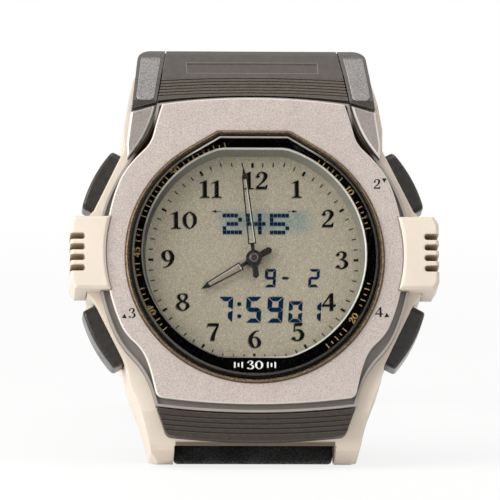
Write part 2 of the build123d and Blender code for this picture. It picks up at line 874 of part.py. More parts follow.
with BuildPart() as hour_wheel:
    hour_tooth = minute_wheel_direction + 180 / hour_teeth
    with BuildSketch(Plane.XY.offset(hour_wheel_low)):
        add(gear_outline(hour_teeth, hour_module, hour_tooth))
    extrude(amount=hour_wheel_thickness)
    with BuildSketch(Plane.XY.offset(hour_wheel_low)):
        Circle(pipe_outer)
    extrude(amount=pipe_top - hour_wheel_low)
    with BuildSketch(Plane.XY.offset(hour_wheel_low)):
        Circle(pipe_bore)
    extrude(amount=pipe_top - hour_wheel_low, mode=Mode.SUBTRACT)
save_head(hour_wheel.part, "hour_wheel")


# Hands
hand_neck_length = 1.62
hand_neck_width = 0.42
hand_frame = 0.15
hand_tip_length_share = 0.87
hand_tip_width_share = 0.66
tail_neck_share = 0.6
tail_end_share = 0.78
tail_corner = 0.25


def hand(length, tail, width, height, hole_radius):
    """A hand with an open frame, pointing to 12, on its round boss."""
    half = width / 2
    neck = hand_neck_width / 2
    tip = half * hand_tip_width_share
    tip_start = length * hand_tip_length_share
    tail_half = half * tail_end_share
    with BuildPart() as blade:
        with BuildSketch(Plane.XY.offset(height)):
            with BuildLine():
                Polyline(
                    (neck, 0),
                    (neck, hand_neck_length),
                    (half, hand_neck_length),
                    (tip, tip_start),
                    (0, length),
                )
                mirror(about=Plane.YZ)
                Line((-neck, 0), (neck, 0))
            make_face()
            with BuildLine():
                Polyline(
                    (half * tail_neck_share, 0),
                    (tail_half, tail_corner - tail),
                    (tail_half - tail_corner, -tail),
                    (tail_corner - tail_half, -tail),
                    (-tail_half, tail_corner - tail),
                    (-half * tail_neck_share, 0),
                    close=True,
                )
            make_face()
            Circle(hand_hub_radius)
            with BuildLine():
                Polyline(
                    (half - hand_frame, hand_neck_length + hand_frame),
                    (tip - hand_frame, tip_start - hand_frame),
                    (hand_frame - tip, tip_start - hand_frame),
                    (hand_frame - half, hand_neck_length + hand_frame),
                    close=True,
                )
            make_face(mode=Mode.SUBTRACT)
            Circle(hole_radius, mode=Mode.SUBTRACT)
        extrude(amount=hand_thickness)
    return blade.part


save_head(
    Rotation(0, 0, -hour_angle)
    * hand(hour_length, hour_tail, hour_width, hour_hand_height, pipe_outer),
    "hour_hand",
)
save_head(
    Rotation(0, 0, -minute_angle)
    * hand(minute_length, minute_tail, minute_width, minute_hand_height, tube_radius),
    "minute_hand",
)


# Buttons, each with its spring and its clip, and the four seals
button_edge_round = 0.35
clip_seat_radius = 0.5
cap_inner = button_flat_distance - button_sunk
clip_outer_distance = bay_radius - clip_thickness / 2
spring_inner = stem_radius + stem_play + fit_gap

for name, angle in button_angles.items():
    push = button_plane(angle)
    outward = polar(1, angle)
    cap_plane = Plane(origin=(0, 0, button_low), x_dir=(*outward, 0), z_dir=(0, 0, 1))
    half_length = button_length / 2
    cap_end = button_flat_distance + button_end_proud
    with BuildPart() as button:
        with BuildSketch(cap_plane):
            with BuildLine():
                Polyline(
                    (cap_end, -half_length),
                    (cap_inner, -half_length),
                    (cap_inner, half_length),
                    (cap_end, half_length),
                )
                ThreePointArc(
                    (cap_end, half_length),
                    (button_flat_distance + button_proud, 0),
                    (cap_end, -half_length),
                )
            make_face()
        extrude(amount=button_high - button_low)
        width, height, middle, corner = button_mouth(0)
        with BuildSketch(push.offset(cap_inner)):
            with Locations((0, middle)):
                RectangleRounded(width, height, corner)
        extrude(amount=button_proud + button_sunk, mode=Mode.INTERSECT)
        outer_face = button.faces().sort_by(Axis((0, 0, 0), (*outward, 0)))[-1]
        fillet(outer_face.edges(), button_edge_round)
        with BuildSketch(push.offset(stem_end_distance)):
            Circle(stem_radius)
        extrude(amount=cap_inner - stem_end_distance)
        with BuildSketch(push.offset(clip_outer_distance - clip_thickness)):
            Circle(stem_radius)
            Circle(clip_seat_radius, mode=Mode.SUBTRACT)
        extrude(amount=clip_thickness, mode=Mode.SUBTRACT)
    save_head(button.part, f"button_{name}")

    with BuildPart() as button_clip:
        with BuildSketch(push.offset(clip_outer_distance - clip_thickness)):
            Circle(clip_radius)
            Circle(clip_seat_radius, mode=Mode.SUBTRACT)
            with Locations((0, clip_radius)):
                Rectangle(clip_seat_radius, 2 * clip_radius, mode=Mode.SUBTRACT)
        extrude(amount=clip_thickness)
    save_head(button_clip.part, f"button_clip_{name}")

    with BuildPart() as button_spring:
        with BuildSketch(push.offset(pocket_floor + end_shake)):
            Circle(spring_inner + spring_wall)
            Circle(spring_inner, mode=Mode.SUBTRACT)
        extrude(amount=cap_inner - pocket_floor - end_shake)
    save_head(button_spring.part, f"button_spring_{name}")

with BuildPart() as button_seals:
    for angle in button_angles.values():
        with BuildSketch(button_plane(angle).offset(pocket_floor - seal_thickness)):
            Circle(seal_radius)
            Circle(stem_radius + stem_play, mode=Mode.SUBTRACT)
        extrude(amount=seal_thickness)
save_head(button_seals.part, "button_seals")


# Aerial: ferrite core and its wound bobbin
core_length = 17.0
core_side = 1.6
coil_wall = 0.3
winding_length = 10.0
bobbin_flange = 0.4
bobbin_flange_thickness = 0.6
aerial_along = (aerial_room_low + aerial_room_high) / 2
aerial_up = aerial_room_floor + core_side / 2 + bobbin_flange

with BuildPart() as aerial_core:
    with Locations((0, aerial_along, aerial_up)):
        Box(core_length, core_side, core_side)
save_head(aerial_core.part, "aerial_core")

with BuildPart() as aerial_coil:
    with Locations((0, aerial_along, aerial_up)):
        Box(winding_length, core_side + 2 * coil_wall, core_side + 2 * coil_wall)
        with Locations((winding_length / 2, 0, 0), (-winding_length / 2, 0, 0)):
            Box(
                bobbin_flange_thickness,
                core_side + 2 * bobbin_flange,
                core_side + 2 * bobbin_flange,
            )
        Box(core_length, core_side, core_side, mode=Mode.SUBTRACT)
save_head(aerial_coil.part, "aerial_coil")


# Aerial cover with its corner caps, at 12 o'clock
# Outer side view of the hood, as shares of its reach towards 12 and of its height.
cover_overhang = 1.85
cover_reach = case_half_height + cover_overhang
cover_height = 10.8
hood_side_shares = [
    (0.846, 0.903), (0.972, 0.737), (1.0, 0.655),
    (1.0, 0.550), (0.975, 0.480),
]
cover_end_drop = 0.45
cover_low = plate_half_height - cover_end_drop
cover_top_half = 9.7
cover_bottom_half = 10.86
cap_top_half = 13.1
cap_bottom_half = 13.87
cap_corner_round = 1.6
cap_gap = 0.14
cap_inner_drop = 0.65
cap_outer_drop = 1.45
cap_low_inner = plate_half_height - cap_inner_drop
cap_low_outer = plate_half_height - cap_outer_drop
rib_count = 6
rib_pitch = 0.38
rib_first = 0.25
rib_groove_width = 0.16
rib_groove_depth = 0.20
label_half = 7.45
label_height = 1.6
label_depth = 0.12
label_shift_share = -0.08
pad_inset = 0.38
pad_height = 0.22
pad_round = 0.55
hood_points = [(cover_low, cover_height), *scaled(hood_side_shares, cover_reach, cover_height)]


def hood_block():
    """The whole dark hood at 12 o'clock, seated on the case, before it is split up."""
    rear_end, slope_end, slope_middle, slope_start = case_side_points[-4:]
    with BuildPart() as block:
        with BuildSketch(Plane.YZ):
            with BuildLine():
                Polyline(
                    (cap_low_outer, case_front),
                    (cap_low_outer, cover_height),
                    *hood_points,
                    rear_end,
                    slope_end,
                    slope_middle,
                    slope_start,
                    close=True,
                )
            make_face()
        extrude(amount=cap_bottom_half + overrun, both=True)
    return block.part


def facet(lower, upper):
    """The plane midway on a facet of the hood, its y up the slope, and the facet's run."""
    slope = Vector(0, upper[0] - lower[0], upper[1] - lower[1])
    middle = ((lower[0] + upper[0]) / 2, (lower[1] + upper[1]) / 2)
    plane = Plane(origin=(0, *middle), x_dir=(1, 0, 0), z_dir=Vector(1, 0, 0).cross(slope))
    return plane, slope.length


def arched_band(half, low_middle, low_ends, width):
    """A strip across the watch, seen from the front, between two alike arcs."""
    with BuildSketch() as band:
        with BuildLine():
            ThreePointArc((-half, low_ends), (0, low_middle), (half, low_ends))
            Line((half, low_ends), (half, low_ends + width))
            ThreePointArc((half, low_ends + width), (0, low_middle + width), (-half, low_ends + width))
            Line((-half, low_ends + width), (-half, low_ends))
        make_face()
    return band.sketch


def grooved(block, outline, bands, depth):
    """A block cut to an outline seen from the front, with grooves as deep all over."""
    with BuildPart() as floor:
        add(block)
        add(block.moved(Location((0, 0, -depth))), mode=Mode.INTERSECT)
        with BuildSketch():
            add(outline)
        extrude(amount=cover_height + overrun, mode=Mode.INTERSECT)
    with BuildPart() as whole:
        add(block)
        with BuildSketch():
            add(outline)
            for band in bands:
                add(band, mode=Mode.SUBTRACT)
        extrude(amount=cover_height + overrun, mode=Mode.INTERSECT)
        add(floor.part)
    return whole.part


label_plane, label_run = facet(hood_points[1], hood_points[2])
cover_arch_middle = plate_half_height + front_gap

with BuildSketch() as cover_outline:
    with BuildLine():
        ThreePointArc(
            (-cover_bottom_half, cover_low), (0, cover_arch_middle), (cover_bottom_half, cover_low)
        )
        Polyline(
            (cover_bottom_half, cover_low),
            (cover_top_half, cover_reach),
            (cover_top_half, cover_reach + overrun),
            (-cover_top_half, cover_reach + overrun),
            (-cover_top_half, cover_reach),
            (-cover_bottom_half, cover_low),
        )
    make_face()

cover_bands = [
    arched_band(
        cap_bottom_half,
        cover_arch_middle + rib_first + rib * rib_pitch,
        cover_low + rib_first + rib * rib_pitch,
        rib_groove_width,
    )
    for rib in range(rib_count)
]

with BuildPart() as aerial_cover:
    add(grooved(hood_block(), cover_outline.sketch, cover_bands, rib_groove_depth))
    with BuildSketch(label_plane):
        with Locations((0, label_shift_share * label_run)):
            Rectangle(2 * label_half, label_height)
    extrude(amount=-label_depth, mode=Mode.SUBTRACT)
save_head(aerial_cover.part, "aerial_cover")

with BuildSketch() as cap_outline:
    inner_top = cover_top_half + cap_gap
    round_start = cap_top_half - cap_corner_round
    with BuildLine():
        Polyline(
            (round_start, cover_reach),
            (inner_top, cover_reach),
            (cover_bottom_half + cap_gap, cover_low),
            (cover_bottom_half + cap_gap, cap_low_inner),
            (cap_bottom_half, cap_low_outer),
            (cap_top_half, cover_reach - cap_corner_round),
        )
        RadiusArc(
            (cap_top_half, cover_reach - cap_corner_round),
            (round_start, cover_reach),
            -cap_corner_round,
        )
    make_face()

with BuildSketch() as pad_outline:
    add(cap_outline.sketch)
    with Locations((0, cover_low - pad_inset)):
        Rectangle(
            cap_bottom_half,
            cover_reach - cover_low + pad_inset,
            align=(Align.MIN, Align.MIN),
            mode=Mode.INTERSECT,
        )
    offset(amount=-pad_inset - pad_round, kind=Kind.INTERSECTION, mode=Mode.REPLACE)
    offset(amount=pad_round, kind=Kind.ARC, mode=Mode.REPLACE)

with BuildPart() as cap_pad:
    add(hood_block().moved(Location((0, 0, pad_height))))
    with BuildSketch():
        add(pad_outline.sketch)
    extrude(amount=cover_height + overrun, mode=Mode.INTERSECT)

with BuildPart() as corner_cap:
    add(hood_block())
    with BuildSketch():
        add(cap_outline.sketch)
    extrude(amount=cover_height + overrun, mode=Mode.INTERSECT)
    add(cap_pad.part)
save_head(corner_cap.part, "corner_cap_right")
save_head(corner_cap.part.mirror(Plane.YZ), "corner_cap_left")

# Shoulders under the caps, beside the face plate
# Outline of the right shoulder, as shares of the case's half width and half height.
shoulder_top_inner_share = (0.590, 0.764)
shoulder_bow_share = (0.655, 0.616)
shoulder_point_share = (0.757, 0.491)
shoulder_outer_share = (0.763, 0.560)
shoulder_top_outer_share = (0.735, 0.728)
shoulder_height = 0.95
shoulder_bevel = 0.22

with BuildPart() as shoulder:
    with BuildSketch(Plane.XY.offset(case_front)):
        top_inner, bow, point, outer, top_outer = scaled(
            [
                shoulder_top_inner_share,
                shoulder_bow_share,
                shoulder_point_share,
                shoulder_outer_share,
                shoulder_top_outer_share,
            ],
            case_half_width,
            case_half_height,
        )
        with BuildLine():
            ThreePointArc(top_inner, bow, point)
            Polyline(point, outer, top_outer, top_inner)
        make_face()
    extrude(amount=shoulder_height)
    chamfer(shoulder.faces().sort_by(Axis.Z)[-1].edges(), shoulder_bevel)
save_head(shoulder.part, "shoulder_right")
save_head(shoulder.part.mirror(Plane.YZ), "shoulder_left")

# Ribbed plate at 6 o'clock
# Its front bends down and then ends at these shares of its reach and of its height.
foot_setback = 1.5
foot_reach = case_half_height - foot_setback
foot_height = 10.75
foot_rise = 0.45
foot_top = plate_half_height - foot_rise
foot_top_half = 11.2
foot_end_half = 10.1
foot_bend_share = (0.978, 0.905)
foot_end_share = (1.0, 0.856)
foot_arch = 0.55
foot_corner_round = 0.9
foot_rib_count = 4
foot_rib_pitch = 0.52
foot_rib_first = 0.62
foot_groove_width = 0.16
foot_groove_depth = 0.18

foot_bend = (-foot_reach * foot_bend_share[0], foot_height * foot_bend_share[1])
foot_end = (-foot_reach * foot_end_share[0], foot_height * foot_end_share[1])

with BuildPart() as foot_block:
    with BuildSketch(Plane.YZ):
        with BuildLine():
            Polyline(
                (-foot_top, case_front),
                (-foot_top, foot_height),
                foot_bend,
                foot_end,
                case_side_points[1],
                case_side_points[0],
                close=True,
            )
        make_face()
    extrude(amount=foot_top_half, both=True)

foot_arch_middle = -plate_half_height - front_gap

with BuildSketch() as foot_outline:
    with BuildLine():
        ThreePointArc((-foot_top_half, -foot_top), (0, foot_arch_middle), (foot_top_half, -foot_top))
        Line((foot_top_half, -foot_top), (foot_end_half, -foot_reach + foot_arch))
        ThreePointArc(
            (foot_end_half, -foot_reach + foot_arch),
            (0, -foot_reach),
            (-foot_end_half, -foot_reach + foot_arch),
        )
        Line((-foot_end_half, -foot_reach + foot_arch), (-foot_top_half, -foot_top))
    make_face()
    fillet(foot_outline.vertices().group_by(Axis.Y)[0], foot_corner_round)

foot_bands = [
    arched_band(
        foot_top_half + overrun,
        foot_arch_middle - foot_rib_first - rib * foot_rib_pitch,
        -foot_top - foot_rib_first - rib * foot_rib_pitch,
        foot_groove_width,
    )
    for rib in range(foot_rib_count)
]

ribbed_plate = grooved(foot_block.part, foot_outline.sketch, foot_bands, foot_groove_depth)
save_head(ribbed_plate, "ribbed_plate")

# Side guards at 3 and 9 o'clock
guard_slot_count = 4
guard_slot_pitch = 1.23
guard_slot_height = 0.71
guard_slot_depth = 1.65
guard_slot_start = guard_outer - guard_slot_depth
guard_slot_floor = 8.4
guard_slot_round = 0.3
guard_bevel = 0.3

with BuildPart() as side_guard:
    with BuildSketch(Plane.XY.offset(case_front)):
        add(guard_face(0))
    extrude(amount=guard_front - case_front)
    with BuildSketch(Plane.XY.offset(guard_rear)):
        add(guard_face(0))
        with Locations((case_half_width + guard_seat_gap, 0)):
            Rectangle(
                guard_outer - case_half_width,
                2 * guard_half_height,
                align=(Align.MIN, Align.CENTER),
                mode=Mode.INTERSECT,
            )
    extrude(amount=case_front - guard_rear)
    chamfer(side_guard.faces().sort_by(Axis.Z)[-1].edges(), guard_bevel)
    with BuildSketch(Plane.XY.offset(guard_slot_floor)):
        slot_run = guard_outer - guard_slot_start + overrun
        with Locations((guard_slot_start + slot_run / 2, 0)):
            with GridLocations(0, guard_slot_pitch, 1, guard_slot_count):
                RectangleRounded(slot_run, guard_slot_height, guard_slot_round)
    extrude(amount=guard_front - guard_slot_floor, mode=Mode.SUBTRACT)
save_head(side_guard.part, "side_guard_right")
save_head(side_guard.part.mirror(Plane.YZ), "side_guard_left")

# Spring bars
bar_half = strap_width / 2
tip_shake = 0.05

for name, reach in (("lower", -lower_bar_reach), ("upper", upper_bar_reach)):
    with BuildPart() as spring_bar:
        with BuildSketch(Plane.YZ):
            with Locations((reach, bar_height)):
                Circle(bar_radius)
        extrude(amount=bar_half, both=True)
        with BuildSketch(Plane.YZ):
            with Locations((reach, bar_height)):
                Circle(bar_tip_radius)
        extrude(amount=slot_half + bar_tip_length - tip_shake, both=True)
    save_head(spring_bar.part, f"spring_bar_{name}")


# Strap half with the holes, flat on the surface and rising at its end
hole_half_length = 112.0
flat_length = 88.0
rise_radius = 60.0
taper_length = 34.0
hole_count = 7
hole_pitch = 6.5
hole_radius = 0.95
first_hole_from_end = 26.0
end_point_length = 9.0
end_half_width = 3.2
strap_bore = bar_radius + bar_play
lower_centre = (-barrel_to_rear, barrel_radius)
pad_thickness = strap_thickness + strap_pad
rise_angle = math.degrees((hole_half_length - flat_length) / rise_radius)


def plan_outline(start, length, width, end_width, point_length, tip_half):
    """The strap seen from above, from its bar to its end, tapering and then pointed."""
    half = width / 2
    end_half = end_width / 2
    stop = start + length
    with BuildSketch() as face:
        with BuildLine():
            Polyline(
                (half, start - barrel_radius - overrun),
                (half, start),
                (end_half, start + taper_length),
                (end_half, stop - point_length),
                (tip_half, stop),
                (-tip_half, stop),
                (-end_half, stop - point_length),
                (-end_half, start + taper_length),
                (-half, start),
                (-half, start - barrel_radius - overrun),
                close=True,
            )
        make_face()
    return face.sketch


rise_start = lower_centre[0] + flat_length
rise_run = rise_radius * math.sin(math.radians(rise_angle))
plan_length = flat_length + rise_run

with BuildPart() as strap_hole_half:
    with BuildSketch(Plane.YZ):
        with BuildLine():
            Polyline(
                (rise_start, 0),
                (lower_centre[0], 0),
                (lower_centre[0], pad_thickness),
                (lower_centre[0] + barrel_radius, pad_thickness),
                (lower_centre[0] + strap_pad_length, strap_thickness),
                (rise_start, strap_thickness),
            )
            inner = CenterArc(
                (rise_start, rise_radius), rise_radius - strap_thickness, -90, rise_angle
            )
            outer = CenterArc((rise_start, rise_radius), rise_radius, -90, rise_angle)
            Line(inner @ 1, outer @ 1)
        make_face()
        with Locations(lower_centre):
            Circle(barrel_radius)
            Circle(strap_bore, mode=Mode.SUBTRACT)
    extrude(amount=strap_width / 2, both=True)
    with BuildSketch():
        add(plan_outline(
            lower_centre[0],
            plan_length,
            strap_width,
            strap_end_width,
            end_point_length,
            end_half_width,
        ))
    extrude(amount=rise_radius, mode=Mode.INTERSECT)
    last_hole = lower_centre[0] + hole_half_length - first_hole_from_end
    with BuildSketch():
        for hole in range(hole_count):
            with Locations((0, last_hole - hole * hole_pitch)):
                Circle(hole_radius)
    extrude(amount=barrel_radius * 2, mode=Mode.SUBTRACT)
save(strap_hole_half.part, "strap_hole_half")

# Strap half with the buckle: it leaves the upper bar and bends down in one arc
buckle_half_length = 70.0
start_heading = 12.0
end_heading = -62.0
upper_bar_dial = leaning(upper_bar_reach, bar_height)
upper_centre = (upper_bar_dial[0] + shift_along, upper_bar_dial[1] + shift_up)
bend_turn = start_heading - end_heading
bend_radius = buckle_half_length / math.radians(bend_turn)
bend_centre = (
    upper_centre[0] + bend_radius * math.sin(math.radians(start_heading)),
    upper_centre[1] - bend_radius * math.cos(math.radians(start_heading)),
)
bend_axis = Axis((0, *bend_centre), (1, 0, 0))
buckle_bar_radius = 0.6
buckle_barrel_radius = 1.45
buckle_play = 0.06
tongue_slot_width = 2.4
tongue_slot_length = 3.6
upper_pad = 0.6
buckle_end_corner = 0.5


def on_bend(length, offset=0.0):
    """The (Y, Z) place on the strap's bend, at a length from the upper bar."""
    angle = math.radians(90 + start_heading) - length / bend_radius
    radius = bend_radius + offset
    return bend_centre[0] + radius * math.cos(angle), bend_centre[1] + radius * math.sin(angle)


def bend_plane(length):
    """The plane across the strap at a length from the upper bar: x across, y outwards."""
    angle = math.radians(90 + start_heading) - length / bend_radius
    outwards = (0, math.cos(angle), math.sin(angle))
    forwards = (0, math.sin(angle), -math.cos(angle))
    return Plane(
        origin=(0, *on_bend(length)),
        x_dir=Vector(*outwards).cross(Vector(*forwards)),
        z_dir=forwards,
    )


def sweep_on_bend(profile, start_length, length):
    """Carry a face across the strap along the bend."""
    turn = math.degrees(length / bend_radius)
    with BuildPart() as swept:
        with BuildSketch(bend_plane(start_length)):
            add(profile)
        revolve(axis=bend_axis, revolution_arc=-turn)
    return swept.part


buckle_centre = on_bend(buckle_half_length)

with BuildSketch() as strap_section:
    Rectangle(strap_width, strap_thickness)
with BuildSketch() as pad_section:
    with Locations((0, upper_pad / 2)):
        Rectangle(strap_width, strap_thickness + upper_pad)

with BuildPart() as strap_buckle_half:
    add(sweep_on_bend(strap_section.sketch, 0, buckle_half_length))
    add(sweep_on_bend(pad_section.sketch, 0, strap_pad_length))
    with BuildSketch(Plane.YZ):
        with Locations(upper_centre):
            Circle(barrel_radius)
        with Locations(buckle_centre):
            Circle(buckle_barrel_radius)
    extrude(amount=strap_width / 2, both=True)
    with BuildSketch():
        add(plan_outline(
            upper_centre[0],
            buckle_centre[0] - upper_centre[0] + buckle_barrel_radius + overrun,
            strap_width,
            strap_end_width,
            buckle_end_corner,
            strap_end_width / 2,
        ))
    extrude(amount=upper_centre[1] + bend_radius, mode=Mode.INTERSECT)
    with BuildSketch(Plane.YZ):
        with Locations(upper_centre):
            Circle(strap_bore)
        with Locations(buckle_centre):
            Circle(buckle_bar_radius + buckle_play)
    extrude(amount=strap_width, both=True, mode=Mode.SUBTRACT)
    with BuildSketch(bend_plane(buckle_half_length - tongue_slot_length)):
        Rectangle(tongue_slot_width, 2 * barrel_radius)
    extrude(amount=tongue_slot_length + buckle_barrel_radius + overrun, mode=Mode.SUBTRACT)
save(strap_buckle_half.part, "strap_buckle_half")

# Buckle frame, its bar and its tongue
frame_inner_half = 8.35
frame_outer_half = 10.1
frame_length = 9.2
frame_bar = 1.5
frame_thickness = 1.5
frame_eye = 0.95
frame_corner = 1.1
frame_edge = 0.25
tongue_width = 1.5
tongue_thickness = 0.7
tongue_ring = 1.47
tongue_reach = 0.25
end_plane = bend_plane(buckle_half_length)
buckle_plane = Plane(origin=end_plane.origin, x_dir=(1, 0, 0), z_dir=end_plane.y_dir)

with BuildPart() as buckle_frame:
    with BuildSketch(buckle_plane.offset(-frame_thickness / 2)):
        frame_middle = (frame_length - frame_eye) / 2
        with Locations((0, frame_middle)):
            RectangleRounded(2 * frame_outer_half, frame_length + frame_eye, frame_corner)
        with Locations((0, (frame_length - frame_bar - frame_eye - overrun) / 2)):
            Rectangle(
                2 * frame_inner_half,
                frame_length - frame_bar + frame_eye + overrun,
                mode=Mode.SUBTRACT,
            )
    extrude(amount=frame_thickness)
    chamfer(buckle_frame.faces().sort_by(Axis((0, 0, 0), buckle_plane.z_dir))[-1].edges(), frame_edge)
    with BuildSketch(Plane.YZ):
        with Locations(buckle_centre):
            Circle(buckle_bar_radius)
    extrude(amount=frame_outer_half + overrun, both=True, mode=Mode.SUBTRACT)
save(buckle_frame.part, "buckle_frame")

with BuildPart() as buckle_bar:
    with BuildSketch(Plane.YZ):
        with Locations(buckle_centre):
            Circle(buckle_bar_radius)
    extrude(amount=frame_outer_half, both=True)
save(buckle_bar.part, "buckle_bar")

with BuildPart() as buckle_tongue:
    with BuildSketch(Plane.YZ):
        with Locations(buckle_centre):
            Circle(tongue_ring)
    extrude(amount=tongue_width / 2, both=True)
    with BuildSketch(buckle_plane.offset(tongue_ring - tongue_thickness)):
        Rectangle(
            tongue_width,
            frame_length + tongue_reach,
            align=(Align.CENTER, Align.MIN),
        )
    extrude(amount=tongue_thickness)
    with BuildSketch(Plane.YZ):
        with Locations(buckle_centre):
            Circle(buckle_bar_radius + buckle_play)
    extrude(amount=tongue_width, both=True, mode=Mode.SUBTRACT)
save(buckle_tongue.part, "buckle_tongue")

# Keepers round the buckle half
keeper_wall = 0.9
keeper_play = 0.15
keeper_room = 2.7
keeper_length = 4.5
fixed_keeper_from_bar = 11.0
free_keeper_from_bar = 27.0
keeper_round = 0.8
keeper_inner_round = 0.3
keeper_half = strap_end_width / 2 + 2 * keeper_play

for name, from_bar, under_gap in (
    ("fixed", fixed_keeper_from_bar, 0),
    ("free", free_keeper_from_bar, keeper_play),
):
    low = -strap_thickness / 2 - under_gap
    high = strap_thickness / 2 + keeper_room
    with BuildSketch() as keeper_section:
        with Locations((0, (low + high) / 2)):
            RectangleRounded(
                2 * (keeper_half + keeper_wall),
                high - low + 2 * keeper_wall,
                keeper_round,
            )
            RectangleRounded(
                2 * keeper_half,
                high - low,
                keeper_inner_round,
                mode=Mode.SUBTRACT,
            )
    keeper = sweep_on_bend(
        keeper_section.sketch,
        buckle_half_length - from_bar,
        keeper_length,
    )
    save(keeper, f"{name}_keeper")
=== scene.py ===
import bpy
import bmesh
import math
from mathutils import Matrix, Quaternion, Vector


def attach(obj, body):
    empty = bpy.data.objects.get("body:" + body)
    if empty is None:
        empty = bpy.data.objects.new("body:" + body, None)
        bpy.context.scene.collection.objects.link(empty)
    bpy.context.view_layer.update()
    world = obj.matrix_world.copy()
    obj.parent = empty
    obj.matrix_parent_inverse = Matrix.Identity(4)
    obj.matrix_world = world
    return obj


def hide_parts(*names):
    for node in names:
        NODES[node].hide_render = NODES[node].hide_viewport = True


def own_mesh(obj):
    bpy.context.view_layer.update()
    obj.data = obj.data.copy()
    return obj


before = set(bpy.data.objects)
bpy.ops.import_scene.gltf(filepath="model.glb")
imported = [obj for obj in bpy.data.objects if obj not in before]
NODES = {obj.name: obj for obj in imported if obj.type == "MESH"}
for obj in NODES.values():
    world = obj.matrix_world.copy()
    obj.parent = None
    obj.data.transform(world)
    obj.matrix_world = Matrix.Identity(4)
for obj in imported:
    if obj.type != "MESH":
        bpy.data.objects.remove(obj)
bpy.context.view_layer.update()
scene = bpy.context.scene

# The dial's own frame, in mm: x to 3 o'clock, y to 12 o'clock, z out of the dial
LEAN = math.radians(18.0)
SIN, COS = math.sin(LEAN), math.cos(LEAN)
DIAL_Y, DIAL_Z = 3.45807, 20.81193
DIAL = Matrix((
    (0.001, 0, 0, 0),
    (0, 0.001 * SIN, -0.001 * COS, 0.001 * DIAL_Y),
    (0, 0.001 * COS, 0.001 * SIN, 0.001 * DIAL_Z),
    (0, 0, 0, 1),
))
ACROSS, ALONG, OUT = (1, 0, 0), (0, 1, 0), (0, 0, 1)
ROW = Matrix.Diagonal((0.001, 0.001, 0.001, 1))
PLATE_TOP = 11.0
GLASS_TOP = 11.7
DISPLAY_TOP = 7.7
HOOD_PROFILE = ((17.95, 10.8), (20.9385, 9.7524), (24.057, 7.9596), (24.75, 7.074))


def new_object(name, data):
    obj = bpy.data.objects.new(name, data)
    scene.collection.objects.link(obj)
    return obj


# Camera
DISTANCE, LENS, SENSOR, FRAME_PIXELS = 0.900, 571.5, 36.0, 500
AIM_HEIGHT, SHIFT_ASIDE, SHIFT_UP = 10.0, -0.00051, 0.00059
camera = scene.camera = new_object("camera", bpy.data.cameras.new("camera"))
azimuth, elevation, roll = math.radians(-3.0), math.radians(4.0), math.radians(0.4)
back = Vector((math.sin(azimuth) * math.cos(elevation), -math.cos(azimuth) * math.cos(elevation),
               math.sin(elevation)))
side = Vector((math.cos(azimuth), math.sin(azimuth), 0))
upward = side.cross(-back)
camera.rotation_mode = "QUATERNION"
camera.rotation_quaternion = (-back).to_track_quat("-Z", "Y") @ Quaternion((0, 0, 1), roll)
camera.location = (DIAL @ Vector((0, 0, AIM_HEIGHT)) + back * DISTANCE + side * SHIFT_ASIDE
                   + upward * SHIFT_UP)
camera.data.sensor_width = SENSOR
camera.data.lens = LENS
camera.data.clip_start = 0.01
camera.data.clip_end = 10.0


def seen(px, py, z):
    """The place on the dial's level z, in mm, of a pixel of the photograph's frame."""
    to_dial = DIAL.inverted()
    start = to_dial @ camera.location
    middle, per_slope = FRAME_PIXELS / 2, FRAME_PIXELS * LENS / SENSOR
    ray = Vector(((px - middle) / per_slope, (middle - py) / per_slope, -1))
    ray = to_dial.to_3x3() @ (camera.rotation_quaternion @ ray)
    reach = (z - start.z) / ray.z
    return start.x + reach * ray.x, start.y + reach * ray.y


# Shader nodes; a node goes into the tree of the output or node that it is given
def feed(node, inputs):
    """Set a node's inputs, each to a value or to the output that feeds it."""
    for name, value in inputs.items():
        socket = node.inputs[name]
        if hasattr(value, "is_linked"):
            node.id_data.links.new(value, socket)
        else:
            socket.default_value = (*value, 1) if socket.type == "RGBA" else value


def add_node(tree, kind, inputs=None, **settings):
    node = tree.nodes.new("ShaderNode" + kind)
    for name, value in settings.items():
        setattr(node, name, value)
    feed(node, inputs or {})
    return node


INPUTS = {
    "rough": "Roughness", "metal": "Metallic", "spec": "Specular IOR Level", "ior": "IOR",
    "coat": "Coat Weight", "coat_rough": "Coat Roughness", "sheen": "Sheen Weight",
    "sub": "Subsurface Weight", "sub_scale": "Subsurface Scale",
}


def new_material(name, **fixed):
    mat = bpy.data.materials.new(name)
    mat.use_nodes = True
    bsdf = mat.node_tree.nodes["Principled BSDF"]
    feed(bsdf, {INPUTS[key]: value for key, value in fixed.items()})
    return mat, mat.node_tree, bsdf


def own_coords(tree):
    return add_node(tree, "TexCoord").outputs["Object"]


def noise(tree, scale, detail=3.0, rough=0.5, stretch=None, output="Fac"):
    """A noise over the object's own coordinates; scale is features per metre."""
    place = own_coords(tree)
    if stretch:
        place = add_node(tree, "Mapping", {"Scale": stretch, "Vector": place}).outputs["Vector"]
    return add_node(tree, "TexNoise", {
        "Scale": scale, "Detail": detail, "Roughness": rough, "Vector": place,
    }).outputs[output]


def ramp(source, stops):
    node = add_node(source.id_data, "ValToRGB", {"Fac": source})
    elements = node.color_ramp.elements
    while len(elements) < len(stops):
        elements.new(0.5)
    for element, (place, colour) in zip(elements, stops):
        element.position = place
        element.color = (*colour, 1)
    return node.outputs["Color"]


def patches(pattern, a, b):
    """Two colours by a noise, with soft borders."""
    return ramp(pattern, [(0.3, a), (0.7, b)])


def mixed(tree, factor, a, b, mode="MIX"):
    return add_node(tree, "Mix", {0: factor, 6: a, 7: b}, data_type="RGBA", blend_type=mode).outputs[2]


def math_node(tree, operation, *values):
    return add_node(tree, "Math", dict(enumerate(values)), operation=operation).outputs[0]


def times(a, b):
    return math_node(a.id_data, "MULTIPLY", a, b)


